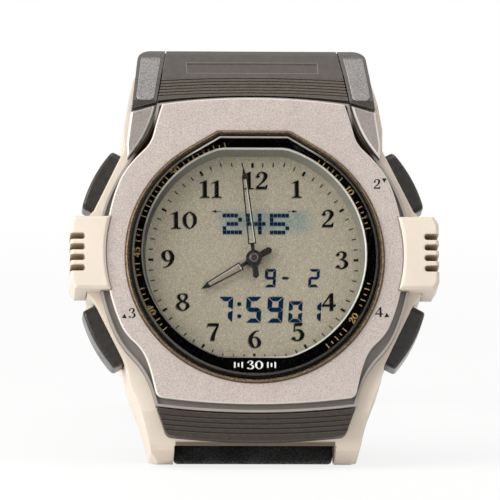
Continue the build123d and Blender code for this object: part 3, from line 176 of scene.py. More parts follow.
def map_range(value, low, high, start=0.0, end=1.0):
    """Low where a value is at start or before it, and high at end or after it."""
    return add_node(value.id_data, "MapRange", {
        "Value": value, "From Min": start, "From Max": end, "To Min": low, "To Max": high,
    }).outputs["Result"]


def fade(value, start, end):
    """0 before start and 1 after end; the two may be given the other way round."""
    if start < end:
        return map_range(value, 0.0, 1.0, start, end)
    return map_range(value, 1.0, 0.0, end, start)


def mask(*fades):
    """Where several fades hold at once, each given as (value, start, end)."""
    product = fade(*fades[0])
    for each in fades[1:]:
        product = times(product, fade(*each))
    return product


def bump(bsdf, height, strength, distance, before=None):
    """Relief from a height, up to a distance in mm."""
    inputs = {"Strength": strength, "Distance": distance / 1000, "Height": height}
    if before is not None:
        inputs["Normal"] = before
    normal = add_node(bsdf.id_data, "Bump", inputs).outputs["Normal"]
    feed(bsdf, {"Normal": normal})
    return normal


def soft_edge(tree, radius):
    """A rounded look on sharp edges, with a radius in mm."""
    return add_node(tree, "Bevel", {"Radius": radius / 1000}, samples=6).outputs["Normal"]


def dot_product(a, b):
    return add_node(a.id_data, "VectorMath", {0: a, 1: b}, operation="DOT_PRODUCT").outputs["Value"]


def direction_of(axis):
    return (DIAL.to_3x3() @ Vector(axis)).normalized()


def dial_axis(tree, axis):
    """How far a point of a fixed piece is along one of the dial's axes, in mm."""
    direction = direction_of(axis) * 1000
    reach = dot_product(own_coords(tree), direction)
    return math_node(tree, "SUBTRACT", reach, direction.dot(DIAL.translation))


def beside_middle(tree, axis):
    return math_node(tree, "ABSOLUTE", dial_axis(tree, axis))


def face_normal(tree):
    return add_node(tree, "NewGeometry").outputs["True Normal"]


def facing(tree, axis=OUT):
    """How far a face looks along one of the dial's axes: 1 straight along it, 0 for a side."""
    return dot_product(face_normal(tree), direction_of(axis))


def edged(tree, colour, edge_colour, radius, gain):
    """A colour that turns paler along the edges: a painted highlight where lacquer catches light, and
    wear.
    """
    turn = dot_product(soft_edge(tree, radius), face_normal(tree))
    return mixed(tree, fade(turn, 1.0, 1.0 - 1.0 / gain), colour, edge_colour)


def shaded(colour, share):
    return tuple(max(0, min(1, c * share)) for c in colour)


def repaint(mat, share, colour, mode="MIX"):
    """Turn a material towards another colour, as far as a share of its own place."""
    bsdf = mat.node_tree.nodes["Principled BSDF"]
    before = bsdf.inputs["Base Color"].links[0].from_socket
    feed(bsdf, {"Base Color": mixed(mat.node_tree, share, before, colour, mode)})


# Kinds of material
def varied(name, base, spread, scale, rough, rough_spread, grain, edge=None, edge_colour=None, **more):
    """Base colour and roughness that vary a little, with a fine grain in the relief."""
    mat, tree, bsdf = new_material(name, **more)
    colour = patches(noise(tree, scale, 4.0), shaded(base, 1 - spread), shaded(base, 1 + spread))
    if edge_colour:
        colour = edged(tree, colour, edge_colour, edge, 3.5)
    low, high = max(0.02, rough - rough_spread), min(1, rough + rough_spread)
    wear = noise(tree, scale * 0.37, 5.0, 0.6)
    feed(bsdf, {"Base Color": colour, "Roughness": map_range(wear, low, high, 0.3, 0.7)})
    grain_scale, strength, distance = grain
    bump(bsdf, noise(tree, grain_scale, 2.0), strength, distance,
         soft_edge(tree, edge) if edge else None)
    return mat


def speckled_metal(name, dark, pale, scale, rough, edge, edge_colour, painted_slope_highlight=True, **more):
    """A lacquer with fine metal flakes."""
    mat, tree, bsdf = new_material(name, coat_rough=0.15, **more)
    fine = noise(tree, scale, 1.0, 0.5)
    flakes = ramp(fine, [(0.34, dark), (0.66, pale)])
    shade = patches(noise(tree, scale * 0.06), (0.93,) * 3, (1, 1, 1))
    colour = edged(tree, mixed(tree, 1.0, flakes, shade, "MULTIPLY"), edge_colour, edge, 3.0)
    # Painted highlight: slopes between the front and the sides take the pale edge colour
    if painted_slope_highlight:
        front = facing(tree)
        slope = mask((front, 0.92, 0.86), (front, 0.45, 0.55))
        colour = mixed(tree, slope, colour, edge_colour)
    level = map_range(fine, rough - 0.07, rough + 0.07)
    feed(bsdf, {"Base Color": colour, "Roughness": level})
    bump(bsdf, fine, 0.22, 0.02, soft_edge(tree, edge))
    return mat


def brushed(name, base, rough, direction):
    """Metal with fine lines; direction stretches them."""
    mat, tree, bsdf = new_material(name, metal=1.0)
    lines = noise(tree, 900, 4.0, 0.6, direction)
    level = map_range(lines, rough - 0.05, rough + 0.1)
    feed(bsdf, {"Base Color": patches(lines, shaded(base, 0.86), base), "Roughness": level})
    bump(bsdf, lines, 0.12, 0.02, soft_edge(tree, 0.12))
    return mat


def leather(name, base, scale):
    """Black grained leather: creases between small cells, with a worn sheen."""
    mat, tree, bsdf = new_material(name)
    warped = add_node(tree, "VectorMath", {
        0: noise(tree, scale * 0.5, 2.0, output="Color"), 1: (0.0006,) * 3, 2: own_coords(tree),
    }, operation="MULTIPLY_ADD").outputs["Vector"]
    cells = add_node(tree, "TexVoronoi", {"Scale": scale, "Vector": warped}, feature="DISTANCE_TO_EDGE")
    flat = map_range(cells.outputs["Distance"], 0.0, 1.0, 0.0, 0.22)
    tops = ramp(noise(tree, scale * 0.12, 4.0, 0.6), [(0.35, base), (0.65, shaded(base, 1.7))])
    feed(bsdf, {
        "Base Color": mixed(tree, flat, shaded(base, 0.3), tops),
        "Roughness": map_range(flat, 0.85, 0.36),
        "Specular IOR Level": map_range(noise(tree, scale * 0.1, 3.0), 0.14, 0.3, 0.35, 0.7),
    })
    creases = noise(tree, scale * 0.22, 2.0, 0.5, (1.0, 0.5, 0.5))
    folds = bump(bsdf, creases, 0.25, 0.1)
    bump(bsdf, flat, 0.6, 0.06, folds)
    return mat


def print_ink(name, colour, rough=0.5):
    return varied(name, colour, 0.1, 9000, rough, 0.05, (14000, 0.05, 0.01), spec=0.04)


# The materials
SMOOTH_GRAIN, TRIM_GRAIN = (9000, 0.04, 0.01), (8000, 0.05, 0.01)
PLASTIC = ((0.735, 0.645, 0.545), 0.035, 260, 0.42, 0.05, (9000, 0.1, 0.02))
CREAM = varied("cream_plastic", *PLASTIC, 0.25, spec=0.4, sub=0.06, sub_scale=0.001)
GUARD = varied("guard_plastic", *PLASTIC, 0.3, spec=0.4)
PLATE = speckled_metal("plate_lacquer", (0.39, 0.335, 0.305), (0.6, 0.525, 0.485), 8500, 0.58, 0.12,
                       (0.7, 0.645, 0.6), metal=0.2)
SHOULDER = speckled_metal("shoulder_lacquer", (0.22, 0.19, 0.175), (0.34, 0.3, 0.275), 8500, 0.5, 0.18,
                          (0.72, 0.69, 0.66), metal=0.3)
GUNMETAL = varied("gunmetal", (0.05, 0.041, 0.033), 0.16, 1400, 0.24, 0.06, (7000, 0.06, 0.02),
                  0.16, (0.31, 0.255, 0.2), metal=0.25, spec=0.25, coat=0.12, coat_rough=0.1)
CAP = speckled_metal("cap_lacquer", (0.085, 0.078, 0.074), (0.235, 0.218, 0.208), 7000, 0.28, 0.2,
                     (0.56, 0.53, 0.51), False, metal=0.3, coat=0.15)
RIBBED = varied("ribbed_lacquer", (0.046, 0.037, 0.029), 0.25, 2600, 0.34, 0.07, (8000, 0.1, 0.02), 0.1,
                (0.135, 0.115, 0.095), metal=0.2, spec=0.35)
BUTTON = varied("button_lacquer", (0.024, 0.021, 0.018), 0.3, 1800, 0.28, 0.08, (6000, 0.12, 0.03), 0.3,
                (0.27, 0.25, 0.225), metal=0.3, spec=0.35, coat=0.15, coat_rough=0.18)
RIM = varied("rim_gilt", (0.15, 0.1, 0.056), 0.6, 3800, 0.3, 0.12, (6000, 0.35, 0.04), 0.06,
             (0.6, 0.5, 0.38), metal=0.8)
RING = varied("ring_black", (0.0015,) * 3, 0.3, 2000, 0.55, 0.05, (9000, 0.03, 0.01), spec=0.0)
LINER = varied("ring_wall", (0.195, 0.195, 0.16), 0.06, 2600, 0.5, 0.05, TRIM_GRAIN, spec=0.1)
LIP = varied("ring_lip", (0.58, 0.565, 0.53), 0.08, 3200, 0.34, 0.05, TRIM_GRAIN, metal=0.2, spec=0.25)
GOLD = print_ink("gold_print", (0.4, 0.275, 0.105), 0.4)
WHITE_INK = print_ink("white_print", (0.8, 0.8, 0.79))
BLACK_INK = print_ink("black_print", (0.004,) * 3)
PLATE_INK = print_ink("plate_print", (0.018, 0.015, 0.013))
LABEL_INK = print_ink("label_print", (0.2, 0.19, 0.18))
# Dark grey of the numbers' painted shadows on the display
PAINTED_SHADOW_INK = print_ink("painted_shadow_print", (0.085, 0.08, 0.066), 0.6)
LCD_INK = print_ink("lcd_segment", (0.0005, 0.012, 0.038))
HAND = varied("hand_lacquer", (0.011, 0.01, 0.009), 0.2, 3000, 0.28, 0.06, SMOOTH_GRAIN, 0.04,
              (0.13, 0.12, 0.11), metal=0.4, spec=0.3)
ARBOR = varied("arbor_metal", (0.11, 0.1, 0.095), 0.2, 3000, 0.3, 0.06, SMOOTH_GRAIN, 0.04,
               (0.45, 0.43, 0.4), metal=0.6)
# Pale colour of the painted highlights along the hands' inner edges
HAND_HIGHLIGHT = varied("hand_edge", (0.6, 0.56, 0.54), 0.06, 3000, 0.4, 0.05, (8000, 0.12, 0.02))
RUBBER = varied("seal_rubber", (0.012,) * 3, 0.2, 1500, 0.55, 0.08, (6000, 0.2, 0.03))
STEEL = brushed("brushed_steel", (0.56, 0.56, 0.55), 0.28, (1.0, 14.0, 14.0))
BRASS = brushed("turned_brass", (0.66, 0.48, 0.22), 0.25, (6.0, 6.0, 6.0))
COPPER = brushed("copper_wire", (0.52, 0.22, 0.1), 0.35, (30.0, 1.0, 1.0))
LEATHER = leather("black_leather", (0.005, 0.0045, 0.0042), 2600)
LINING = leather("strap_lining", (0.045, 0.034, 0.027), 4200)
THREAD = varied("strap_thread", (0.03, 0.028, 0.026), 0.25, 6000, 0.7, 0.08, (12000, 0.5, 0.05), sheen=0.3)
MODULE = varied("module_plastic", (0.035,) * 3, 0.15, 1500, 0.5, 0.06, (6000, 0.15, 0.03), 0.1)
BOARD = varied("board_resist", (0.02, 0.13, 0.05), 0.2, 2500, 0.4, 0.08, (5000, 0.1, 0.02))
ZEBRA = varied("connector_rubber", (0.42, 0.33, 0.33), 0.2, 5000, 0.55, 0.05, (9000, 0.15, 0.02))
GLOW = varied("backlight_film", (0.62, 0.7, 0.58), 0.05, 1500, 0.5, 0.05, (7000, 0.05, 0.01))
FERRITE = varied("ferrite", (0.03, 0.03, 0.032), 0.25, 2500, 0.5, 0.08, (7000, 0.3, 0.03))


def tan_band_under_ribbed_plate():
    """A dark tan band on the case, in the corner between the ribbed plate and the strap."""
    tree = CREAM.node_tree
    corner = mask((dial_axis(tree, ALONG), -21.15, -21.35), (beside_middle(tree, ACROSS), 9.1, 9.0))
    repaint(CREAM, corner, (0.15, 0.115, 0.08))


def slot_shade():
    """Painted shade on the walls and floors of the guards' slots: tan, darkest deep in them."""
    tree = GUARD.node_tree
    height = dial_axis(tree, OUT)
    near = (beside_middle(tree, ALONG), 3.3, 3.2)
    upright = math_node(tree, "ABSOLUTE", facing(tree, ALONG))
    walls = mask((upright, 0.6, 0.8), near, (beside_middle(tree, ACROSS), 19.2, 19.3), (height, 8.3, 8.38))
    floors = mask((height, 8.6, 8.5), (height, 8.3, 8.35), (facing(tree), 0.7, 0.8), near)
    tan = ramp(fade(height, 8.4, 11.4), [(0.0, (0.2, 0.125, 0.065)), (0.9, (0.5, 0.39, 0.27))])
    repaint(GUARD, math_node(tree, "MAXIMUM", walls, floors), tan)


def plate_shade(channel=10.34, lip=10.62):
    """Painted shade on the lip and channel round the plate, and darker painted shade in the crescents
    beside the hood.
    """
    tree = PLATE.node_tree
    height = dial_axis(tree, OUT)
    repaint(PLATE, fade(height, lip + 0.04, lip), (0.32, 0.29, 0.27))
    repaint(PLATE, fade(height, channel + 0.04, channel), (0.2, 0.18, 0.162))
    crescent = mask((dial_axis(tree, ALONG), 10.6, 11.8), (beside_middle(tree, ACROSS), 11.0, 11.4),
                    (height, lip + 0.24, lip + 0.16))
    repaint(PLATE, crescent, (0.03, 0.021, 0.014))
    sheen = math_node(tree, "SUBTRACT", 1.0, crescent)
    bsdf = tree.nodes["Principled BSDF"]
    feed(bsdf, {"Metallic": times(sheen, bsdf.inputs["Metallic"].default_value),
                "Specular IOR Level": times(sheen, 0.5)})


def cap_frame(start=17.0, end=25.0, top=12.0):
    """Darken the cap beside its raised pad, which stands over the hood's side profile."""
    tree = CAP.node_tree
    along = dial_axis(tree, ALONG)
    profile = [((y - start) / (end - start), (z / top,) * 3) for y, z in HOOD_PROFILE]
    surface = ramp(fade(along, start, end), profile)
    proud = math_node(tree, "SUBTRACT", dial_axis(tree, OUT), times(surface, top))
    pad = mask((proud, 0.06, 0.14), (along, 23.7, 23.4))
    repaint(CAP, math_node(tree, "SUBTRACT", 1.0, pad), (0.27, 0.245, 0.225), "MULTIPLY")


def display_material():
    """The pale grey-green reflector behind the display's glass, with its metal speckle."""
    mat, tree, bsdf = new_material("display_reflector", rough=0.45, metal=0.15, spec=0.15)
    fine = noise(tree, 7500, 2.0, 0.6)
    speck = ramp(fine, [(0.3, (0.235, 0.205, 0.152)), (0.55, (0.345, 0.308, 0.238)),
                        (0.78, (0.55, 0.505, 0.405))])
    shade = patches(noise(tree, 150), (0.94, 0.96, 0.94), (1, 1, 0.98))
    feed(bsdf, {"Base Color": mixed(tree, 1.0, speck, shade, "MULTIPLY")})
    low, high = seen(214, 238, DISPLAY_TOP), seen(318, 207, DISPLAY_TOP)
    across, along = dial_axis(tree, ACROSS), dial_axis(tree, ALONG)
    window = mask((across, low[0], low[0] + 1.4), (across, high[0], high[0] - 1.8),
                  (along, low[1], low[1] + 1.3), (along, high[1], high[1] - 1.0))
    repaint(mat, window, (0.66, 0.8, 0.92), "MULTIPLY")
    bump(bsdf, fine, 0.12, 0.01)
    return mat


def crystal_material():
    """Clear glass whose ground bevel is dark below and has a pale line above; the line is a painted
    highlight, brighter towards 12 o'clock, where the light from above falls.
    """
    mat, tree, bsdf = new_material("crystal_glass", ior=1.1, spec=0.2)
    front, level = facing(tree), dial_axis(tree, OUT)
    bevel = mask((front, 0.95, 0.9), (front, 0.2, 0.3), (level, GLASS_TOP - 0.9, GLASS_TOP - 0.8))
    # Painted highlight: the bevel's pale line is brighter towards 12 o'clock
    above = fade(dial_axis(tree, ALONG), 10.8, 11.8)
    highlight_colour = mixed(tree, above, (0.085, 0.08, 0.07), (0.42, 0.395, 0.355))
    upper = fade(level, GLASS_TOP - 0.24, GLASS_TOP - 0.2)
    bevel_colour = mixed(tree, upper, (0.012, 0.01, 0.008), highlight_colour)
    feed(bsdf, {
        "Base Color": mixed(tree, bevel, (0.97, 0.99, 0.98), bevel_colour),
        "Roughness": map_range(noise(tree, 700, 4.0, 0.7), 0.0, 0.03, 0.45, 0.8),
        "Alpha": map_range(bevel, 0.14, 0.8),
        "Transmission Weight": map_range(bevel, 1.0, 0.0),
    })
    return mat


tan_band_under_ribbed_plate()
slot_shade()
plate_shade()
cap_frame()
# The opening's wall and lip get painted shade on their left, which faces away from the light on the left
for mat, direction, left_shade in ((LINER, (1, 0.35, 0), (0.36, 0.36, 0.35)),
                             (LIP, (1, 0.7, 0), (0.24, 0.24, 0.23))):
    repaint(mat, fade(dial_axis(mat.node_tree, direction), -2.0, -9.0), left_shade, "MULTIPLY")
DISPLAY = display_material()
CRYSTAL = crystal_material()

# The real piece's finish on each CAD node
BUTTONS = ("upper_right", "upper_left", "lower_left", "lower_right")
FINISHES = (
    (CREAM, "case_body"), (GUARD, "side_guard_left side_guard_right"), (PLATE, "face_plate"),
    (SHOULDER, "shoulder_left shoulder_right"), (GUNMETAL, "aerial_cover"),
    (CAP, "corner_cap_left corner_cap_right"), (RIBBED, "ribbed_plate"), (RIM, "crystal_rim"),
    (CRYSTAL, "crystal"), (RING, "dial_ring"), (DISPLAY, "display_panel"),
    (HAND, "hour_hand minute_hand"), (GLOW, "backlight_panel"), (MODULE, "module_frame"),
    (ZEBRA, "connector_strips"), (BOARD, "circuit_board"), (COPPER, "motor_coil aerial_coil"),
    (FERRITE, "rotor aerial_core"), (RUBBER, "case_back_gasket crystal_gasket button_seals"),
    (BRASS, "centre_wheel intermediate_wheel minute_wheel hour_wheel"),
    (STEEL, "case_back case_back_screws battery battery_clip stator train_plate train_posts "
            "spring_bar_lower spring_bar_upper buckle_frame buckle_bar buckle_tongue"),
    (BUTTON, " ".join(f"button_{place}" for place in BUTTONS)),
    (STEEL, " ".join(f"button_clip_{place} button_spring_{place}" for place in BUTTONS)),
)
for mat, names in FINISHES:
    for name in names.split():
        for material_slot in NODES[name].material_slots:
            material_slot.material = mat


# Mesh helpers
def plain_object(name, verts, faces, mats, space=ROW):
    mesh = bpy.data.meshes.new(name)
    mesh.from_pydata([space @ Vector(v) for v in verts], [], faces)
    mesh.update()
    for mat in mats:
        mesh.materials.append(mat)
    return new_object(name, mesh)


def add_mesh(name, shape, mat, body, space=DIAL, smooth=False):
    """A piece from its vertices and faces, which rides on a body of the frame."""
    obj = plain_object(name, *shape, (mat,), space)
    if smooth:
        obj.data.shade_smooth()
    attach(obj, body)
    return obj


def circle(count):
    """Cosine and sine at a count of even steps round a circle."""
    angles = [2 * math.pi * i / count for i in range(count)]
    return [(math.cos(angle), math.sin(angle)) for angle in angles]


def quads(rings, count, start=0, closed=False):
    """Quads between rings that follow each other, each of a count of vertices."""
    faces = []
    for k in range(rings if closed else rings - 1):
        a, b = start + k * count, start + (k + 1) % rings * count
        for i in range(count):
            j = (i + 1) % count
            faces.append((a + i, a + j, b + j, b + i))
    return faces


def flipped(faces):
    return [face[:1] + face[:0:-1] for face in faces]


def tube(rings, count, start=0):
    """Quads between rings, and both ends closed."""
    end = start + rings * count
    caps = [tuple(range(start + count - 1, start - 1, -1)), tuple(range(end - count, end))]
    return quads(rings, count, start) + caps


def box(x0, y0, x1, y1):
    return [(x0, y0), (x1, y0), (x1, y1), (x0, y1)]


def disc(x, y, radius, count=16):
    return [(x + radius * c, y + radius * s) for c, s in circle(count)]


def turned(points, angle, x=0.0, y=0.0):
    """Points turned by an angle, then moved."""
    c, s = math.cos(angle), math.sin(angle)
    return [(x + u * c - v * s, y + u * s + v * c) for u, v in points]


def printed(name, shapes, z, thickness, ink, body="head"):
    """Flat shapes at a height, or prisms up to it, as one piece."""
    verts, faces = [], []
    for shape in shapes:
        start, count = len(verts), len(shape)
        verts += [(x, y, z) for x, y in shape]
        faces.append(tuple(range(start, start + count)))
        if thickness:
            verts += [(x, y, z - thickness) for x, y in shape]
            faces += flipped(quads(2, count, start))
    add_mesh(name, (verts, faces), ink, body)


def stroke(points, steps=6):
    """Quads along a Catmull-Rom line whose points are (x, y, width)."""
    line = []
    for i in range(len(points) - 1):
        around = (points[max(i - 1, 0)], points[i], points[i + 1], points[min(i + 2, len(points) - 1)])
        for t in (step / steps for step in range(steps)):
            line.append(tuple(
                0.5 * (2 * b + (c - a) * t + (2 * a - 5 * b + 4 * c - d) * t * t
                       + (3 * b - a - 3 * c + d) * t * t * t)
                for a, b, c, d in zip(*around)
            ))
    line.append(points[-1])
    sides = []
    for i, (x, y, width) in enumerate(line):
        a, b = line[max(i - 1, 0)], line[min(i + 1, len(line) - 1)]
        dx, dy = b[0] - a[0], b[1] - a[1]
        length = math.hypot(dx, dy) or 1.0
        nx, ny = -dy / length * width / 2, dx / length * width / 2
        sides.append(((x + nx, y + ny), (x - nx, y - ny)))
    return [[a[0], a[1], b[1], b[0]] for a, b in zip(sides, sides[1:])]


# Serif digits in a box 100 high: width, flat shapes, strokes that swell, and balls at their ends
GLYPHS = {
    "0": (66, [], [[
        (33, 98, 5), (14, 76, 13), (10, 50, 16), (14, 24, 13), (33, 2, 5), (52, 24, 13), (56, 50, 16),
        (52, 76, 13), (33, 98, 5)]], []),
    "1": (50, [
        [(17, 4), (33, 4), (33, 100), (29, 100), (17, 92)],
        [(3, 0), (47, 0), (47, 4), (36, 8), (14, 8), (3, 4)],
        [(17, 84), (17, 93), (29, 100), (33, 100), (4, 86), (3, 82)]], [], []),
    "2": (60, [[(4, 0), (52, 0), (55, 26), (50, 26), (44, 15), (8, 14)]], [[
        (12, 72, 6), (17, 90, 7), (31, 97, 8), (45, 88, 14), (47, 70, 16), (37, 47, 11), (22, 28, 8),
        (8, 12, 7)]], [(13, 73, 8.5)]),
    "3": (60, [], [
        [(10, 80, 5), (17, 92, 6), (30, 97, 7), (43, 88, 13), (42, 69, 14), (32, 56, 7), (22, 53, 5)],
        [(22, 53, 5), (36, 50, 7), (49, 36, 15), (46, 14, 15), (29, 2, 7), (14, 8, 6)]],
        [(13, 79, 7.5), (12, 12, 8.5)]),
    "4": (64, [
        [(36, 0), (51, 0), (51, 100), (44, 100), (36, 90)], [(2, 24), (62, 24), (62, 36), (2, 36)],
        [(2, 30), (8, 30), (44, 92), (44, 100), (40, 100)]], [], []),
    "5": (60, [
        [(14, 84), (47, 84), (52, 102), (15, 100)], [(13, 50), (17, 50), (19, 100), (15, 100)]], [[
        (14, 52, 4), (26, 62, 8), (42, 56, 14), (50, 34, 17), (42, 10, 14), (24, 2, 7), (12, 9, 6)]],
        [(11, 13, 8.5)]),
    "6": (64, [], [[
        (52, 97, 4), (34, 91, 9), (18, 70, 15), (12, 40, 17), (20, 12, 14), (34, 2, 6), (49, 14, 14),
        (51, 36, 15), (42, 56, 9), (30, 61, 6), (16, 50, 5)]], []),
    "7": (60, [[(6, 82), (56, 82), (57, 100), (10, 100), (4, 74), (8, 74)]], [[
        (53, 86, 8), (40, 55, 12), (31, 26, 15), (28, 0, 17)]], []),
    "8": (64, [], [
        [(32, 97, 5), (17, 90, 11), (15, 73, 12), (32, 54, 9), (47, 73, 12), (46, 90, 11), (32, 97, 5)],
        [(32, 54, 9), (13, 41, 12), (11, 20, 15), (32, 2, 6), (52, 20, 15), (50, 41, 12),
         (32, 54, 9)]], []),
}


def glyph(digit):
    """The shapes of one digit and its width; a 9 is a 6 turned over."""
    if digit == "9":
        shapes, width = glyph("6")
        return [[(width - x, 100 - y) for x, y in shape] for shape in shapes], width
    width, flats, lines, balls = GLYPHS[digit]
    return flats + [quad for line in lines for quad in stroke(line)] + [disc(*b) for b in balls], width


def number(text, x, y, height, widen=1.26, turn=0.0):
    """The shapes of a serif number centred on a place."""
    size, gap, shapes, across = height / 100, 2, [], 0
    for digit in text:
        drawn, width = glyph(digit)
        shapes += [[(px + across, py) for px, py in shape] for shape in drawn]
        across += width + gap
    middle = (across - gap) / 2
    return [turned([((px - middle) * size * widen, (py - 50) * size) for px, py in shape], turn, x, y)
            for shape in shapes]


def on_display(px, py):
    return seen(px, py, DISPLAY_TOP)


# Print on the display: numbers with their painted shadows, minute marks and arrows
INK_Z = DISPLAY_TOP + 0.035
NUMERALS = {
    "12": (256, 180.5), "1": (297, 189), "2": (328, 218.5), "3": (342, 260), "4": (329, 302),
    "5": (298, 332), "6": (255, 339), "7": (213, 332), "8": (183, 302), "9": (168, 259),
    "10": (184, 220), "11": (211, 189),
}
numbers, painted_shadows = [], []
for text, place in NUMERALS.items():
    x, y = on_display(*place)
    numbers += number(text, x, y, 2.05)
    painted_shadows += number(text, x - 0.1, y - 0.07, 2.08)
printed("dial_numbers", numbers, INK_Z, 0.03, BLACK_INK)
# Painted shadows of the numbers, flat on the display below them
printed("dial_number_shades", painted_shadows, DISPLAY_TOP + 0.004, 0.0, PAINTED_SHADOW_INK)

TICK_REACH, TICK_TOP, TICK_BOTTOM = 11.97, 11.4, 11.52
ticks = []
for minute in range(60):
    angle = math.radians(90 - 6 * minute)
    rise = math.sin(angle)
    length, half = (0.58, 0.14) if minute % 5 == 0 else (0.5, 0.065)
    reach = TICK_REACH
    if abs(rise) > 0.01:
        reach = min(reach, (TICK_TOP if rise > 0 else TICK_BOTTOM) / abs(rise))
    inner = reach - length
    ticks.append(turned([(inner, half), (inner, -half), (reach, -half), (reach, half)], angle))
printed("dial_ticks", ticks, INK_Z, 0.025, BLACK_INK)

arrows = []
for way in (-1, 1):
    x, y = on_display(254.5 + way * 38, 211.5)
    arrows.append([(x, y - 0.17), (x + way * 0.62, y), (x, y + 0.17)])
    arrows.append(box(x - way * 0.55, y - 0.035, x, y + 0.035))
printed("dial_arrows", arrows, INK_Z, 0.02, BLACK_INK)

# Liquid crystal figures: dots above, seven bars below
DOTS = {
    "2": ["11110", "00001", "01110", "10000", "11111"],
    "4": ["10010", "10010", "11111", "00010", "00010"],
    "5": ["11111", "10000", "11110", "00001", "11110"],
}
DOT_GAP, DOT_ROWS, DOT_COLUMNS, DOT_PITCH = 0.035, 5, 17, 6
left, top = on_display(222.5, 213.3)
right, bottom = on_display(289.5, 234.6)
cell_w, cell_h = (right - left) / DOT_COLUMNS, (top - bottom) / DOT_ROWS
lcd = []
for place, digit in enumerate("245"):
    for row, bits in enumerate(DOTS[digit]):
        for column, bit in enumerate(bits):
            if bit == "1":
                x, y = left + (place * DOT_PITCH + column) * cell_w, top - (row + 1) * cell_h
                lcd.append(box(x, y, x + cell_w - DOT_GAP, y + cell_h - DOT_GAP))

BARS = {"0": "abcdef", "1": "bc", "2": "abged", "5": "afgcd", "7": "abc", "9": "abcdfg", "-": "g"}
BAR_LEAN = 0.06


def seven(digit, x, y, w, h, bar):
    """Seven-bar figure with its lower left corner at x, y, leaning a little."""
    gap, mid, half, tip = bar * 0.1, h / 2, bar * 0.5, bar * 0.8
    shapes = {
        "a": [(gap, h), (w - gap, h), (w - bar - gap, h - bar), (bar + gap, h - bar)],
        "d": [(gap, 0), (bar + gap, bar), (w - bar - gap, bar), (w - gap, 0)],
        "f": [(0, h - gap), (bar, h - bar - gap), (bar, mid + half + gap), (0, mid + gap)],
        "e": [(0, gap), (0, mid - gap), (bar, mid - half - gap), (bar, bar + gap)],
        "b": [(w, h - gap), (w, mid + gap), (w - bar, mid + half + gap), (w - bar, h - bar - gap)],
        "c": [(w, gap), (w - bar, bar + gap), (w - bar, mid - half - gap), (w, mid - gap)],
        "g": [(gap, mid), (tip, mid + half), (w - tip, mid + half), (w - gap, mid),
              (w - tip, mid - half), (tip, mid - half)],
    }
    return [[(x + px + py * BAR_LEAN, y + py) for px, py in shapes[key]] for key in BARS[digit]]


for py0, py1, bar, figures in (
        (269.1, 287.5, 0.34, (("9", 264.4, 275.2), ("2", 308.0, 318.8))),
        (269.3, 287.3, 0.34, (("-", 280.5, 289.2),)),
        (296.8, 323.0, 0.54, (("7", 217.4, 231.8), ("5", 245.3, 260.4), ("9", 266.6, 282.0))),
        (301.3, 322.7, 0.46, (("0", 288.0, 301.4), ("1", 307.0, 320.2)))):
    for digit, px0, px1 in figures:
        x0, y0 = on_display(px0, py1)
        x1, y1 = on_display(px1, py0)
        lcd += seven(digit, x0, y0, x1 - x0, y1 - y0, bar)
lcd += [disc(*on_display(239.2, py), 0.25) for py in (304.2, 316.3)]
printed("lcd_figures", lcd, DISPLAY_TOP + 0.03, 0.0, LCD_INK)

# Wall and lip of the dial's opening
RING_TOP = 9.6
WALL_SLOPE = math.tan(math.radians(13.0))
OPENING_RADIUS, OPENING_FLAT, OPENING_RISE, OPENING_STEPS = 12.72, 12.16, 0.42, 96


def opening(levels):
    """Rings round the dial's opening, a circle cut flat above and below, from (height, inset)."""
    verts = []
    for z, inset in levels:
        slip = (RING_TOP - z) * WALL_SLOPE + inset
        radius, flat = OPENING_RADIUS - slip, OPENING_FLAT - slip
        verts += [(radius * c, max(-flat, min(flat, radius * s)) + OPENING_RISE, z)
                  for c, s in circle(OPENING_STEPS)]
    return verts, quads(len(levels), OPENING_STEPS)


add_mesh("opening_wall", opening([(7.73, 0.005), (9.4, 0.03), (9.4, 0.005)]), LINER, "head")
add_mesh("opening_lip", opening([(9.4, 0.005), (9.42, 0.05), (9.6, 0.05), (9.64, 0.0),
                                 (9.63, -0.1), (9.6, -0.12)]), LIP, "head")

# Gold scales and one white number on the black ring
RING_Z = RING_TOP + 0.015
SCALE_RADIUS, SCALE_LIFT, SCALE_PITCH, FIGURE_ROOM = 13.34, 0.05, 2.8, 1.05
gold = []
for start, end, figure in ((104, 160, "50"), (167, 190, "45"), (197, 220, "40"), (-52, -14, "20"),
                           (14, 56, "10")):
    middle = math.radians((start + end) / 2)
    steps = int((end - start) / SCALE_PITCH)
    for k in range(steps + 1):
        angle = math.radians(start + (end - start) * k / steps)
        if abs(angle - middle) * SCALE_RADIUS >= FIGURE_ROOM:
            tall = 0.31 if k % 2 == 0 else 0.18
            mark = box(SCALE_RADIUS - tall, -0.05, SCALE_RADIUS + tall, 0.05)
            gold.append(turned(mark, angle, 0.0, SCALE_LIFT))
    upright = middle - math.pi / 2 if math.sin(middle) > -0.1 else middle + math.pi / 2
    x, y = turned([(SCALE_RADIUS, 0.0)], middle, 0.0, SCALE_LIFT)[0]
    gold += number(figure, x, y, 0.74, 1.3, upright)
printed("ring_scale", gold, RING_Z, 0.02, GOLD)
figure_x, figure_y = seen(255, 365, RING_TOP)
white = number("30", figure_x, figure_y, 1.0, 1.5)
for way in (-1, 1):
    for k, tall in enumerate((0.34, 0.22, 0.34)):
        x = figure_x + way * (1.45 + 0.42 * k)
        white.append(box(x - 0.09, figure_y - tall, x + 0.09, figure_y + tall))
printed("ring_number", white, RING_Z, 0.02, WHITE_INK)

# Small arrows and numbers on the plate, one by each of three buttons
marks = []
for px, py, figure in ((377, 184, "2"), (132, 313, "3"), (379, 312, "4")):
    x, y = seen(px, py, PLATE_TOP)
    marks += number(figure, x, y, 1.15, 1.3)
    marks.append(turned(((0.8, -0.3), (1.3, 0.0), (0.8, 0.3)), math.atan2(y, x), x, y))
printed("button_marks", marks, PLATE_TOP + 0.012, 0.01, PLATE_INK)

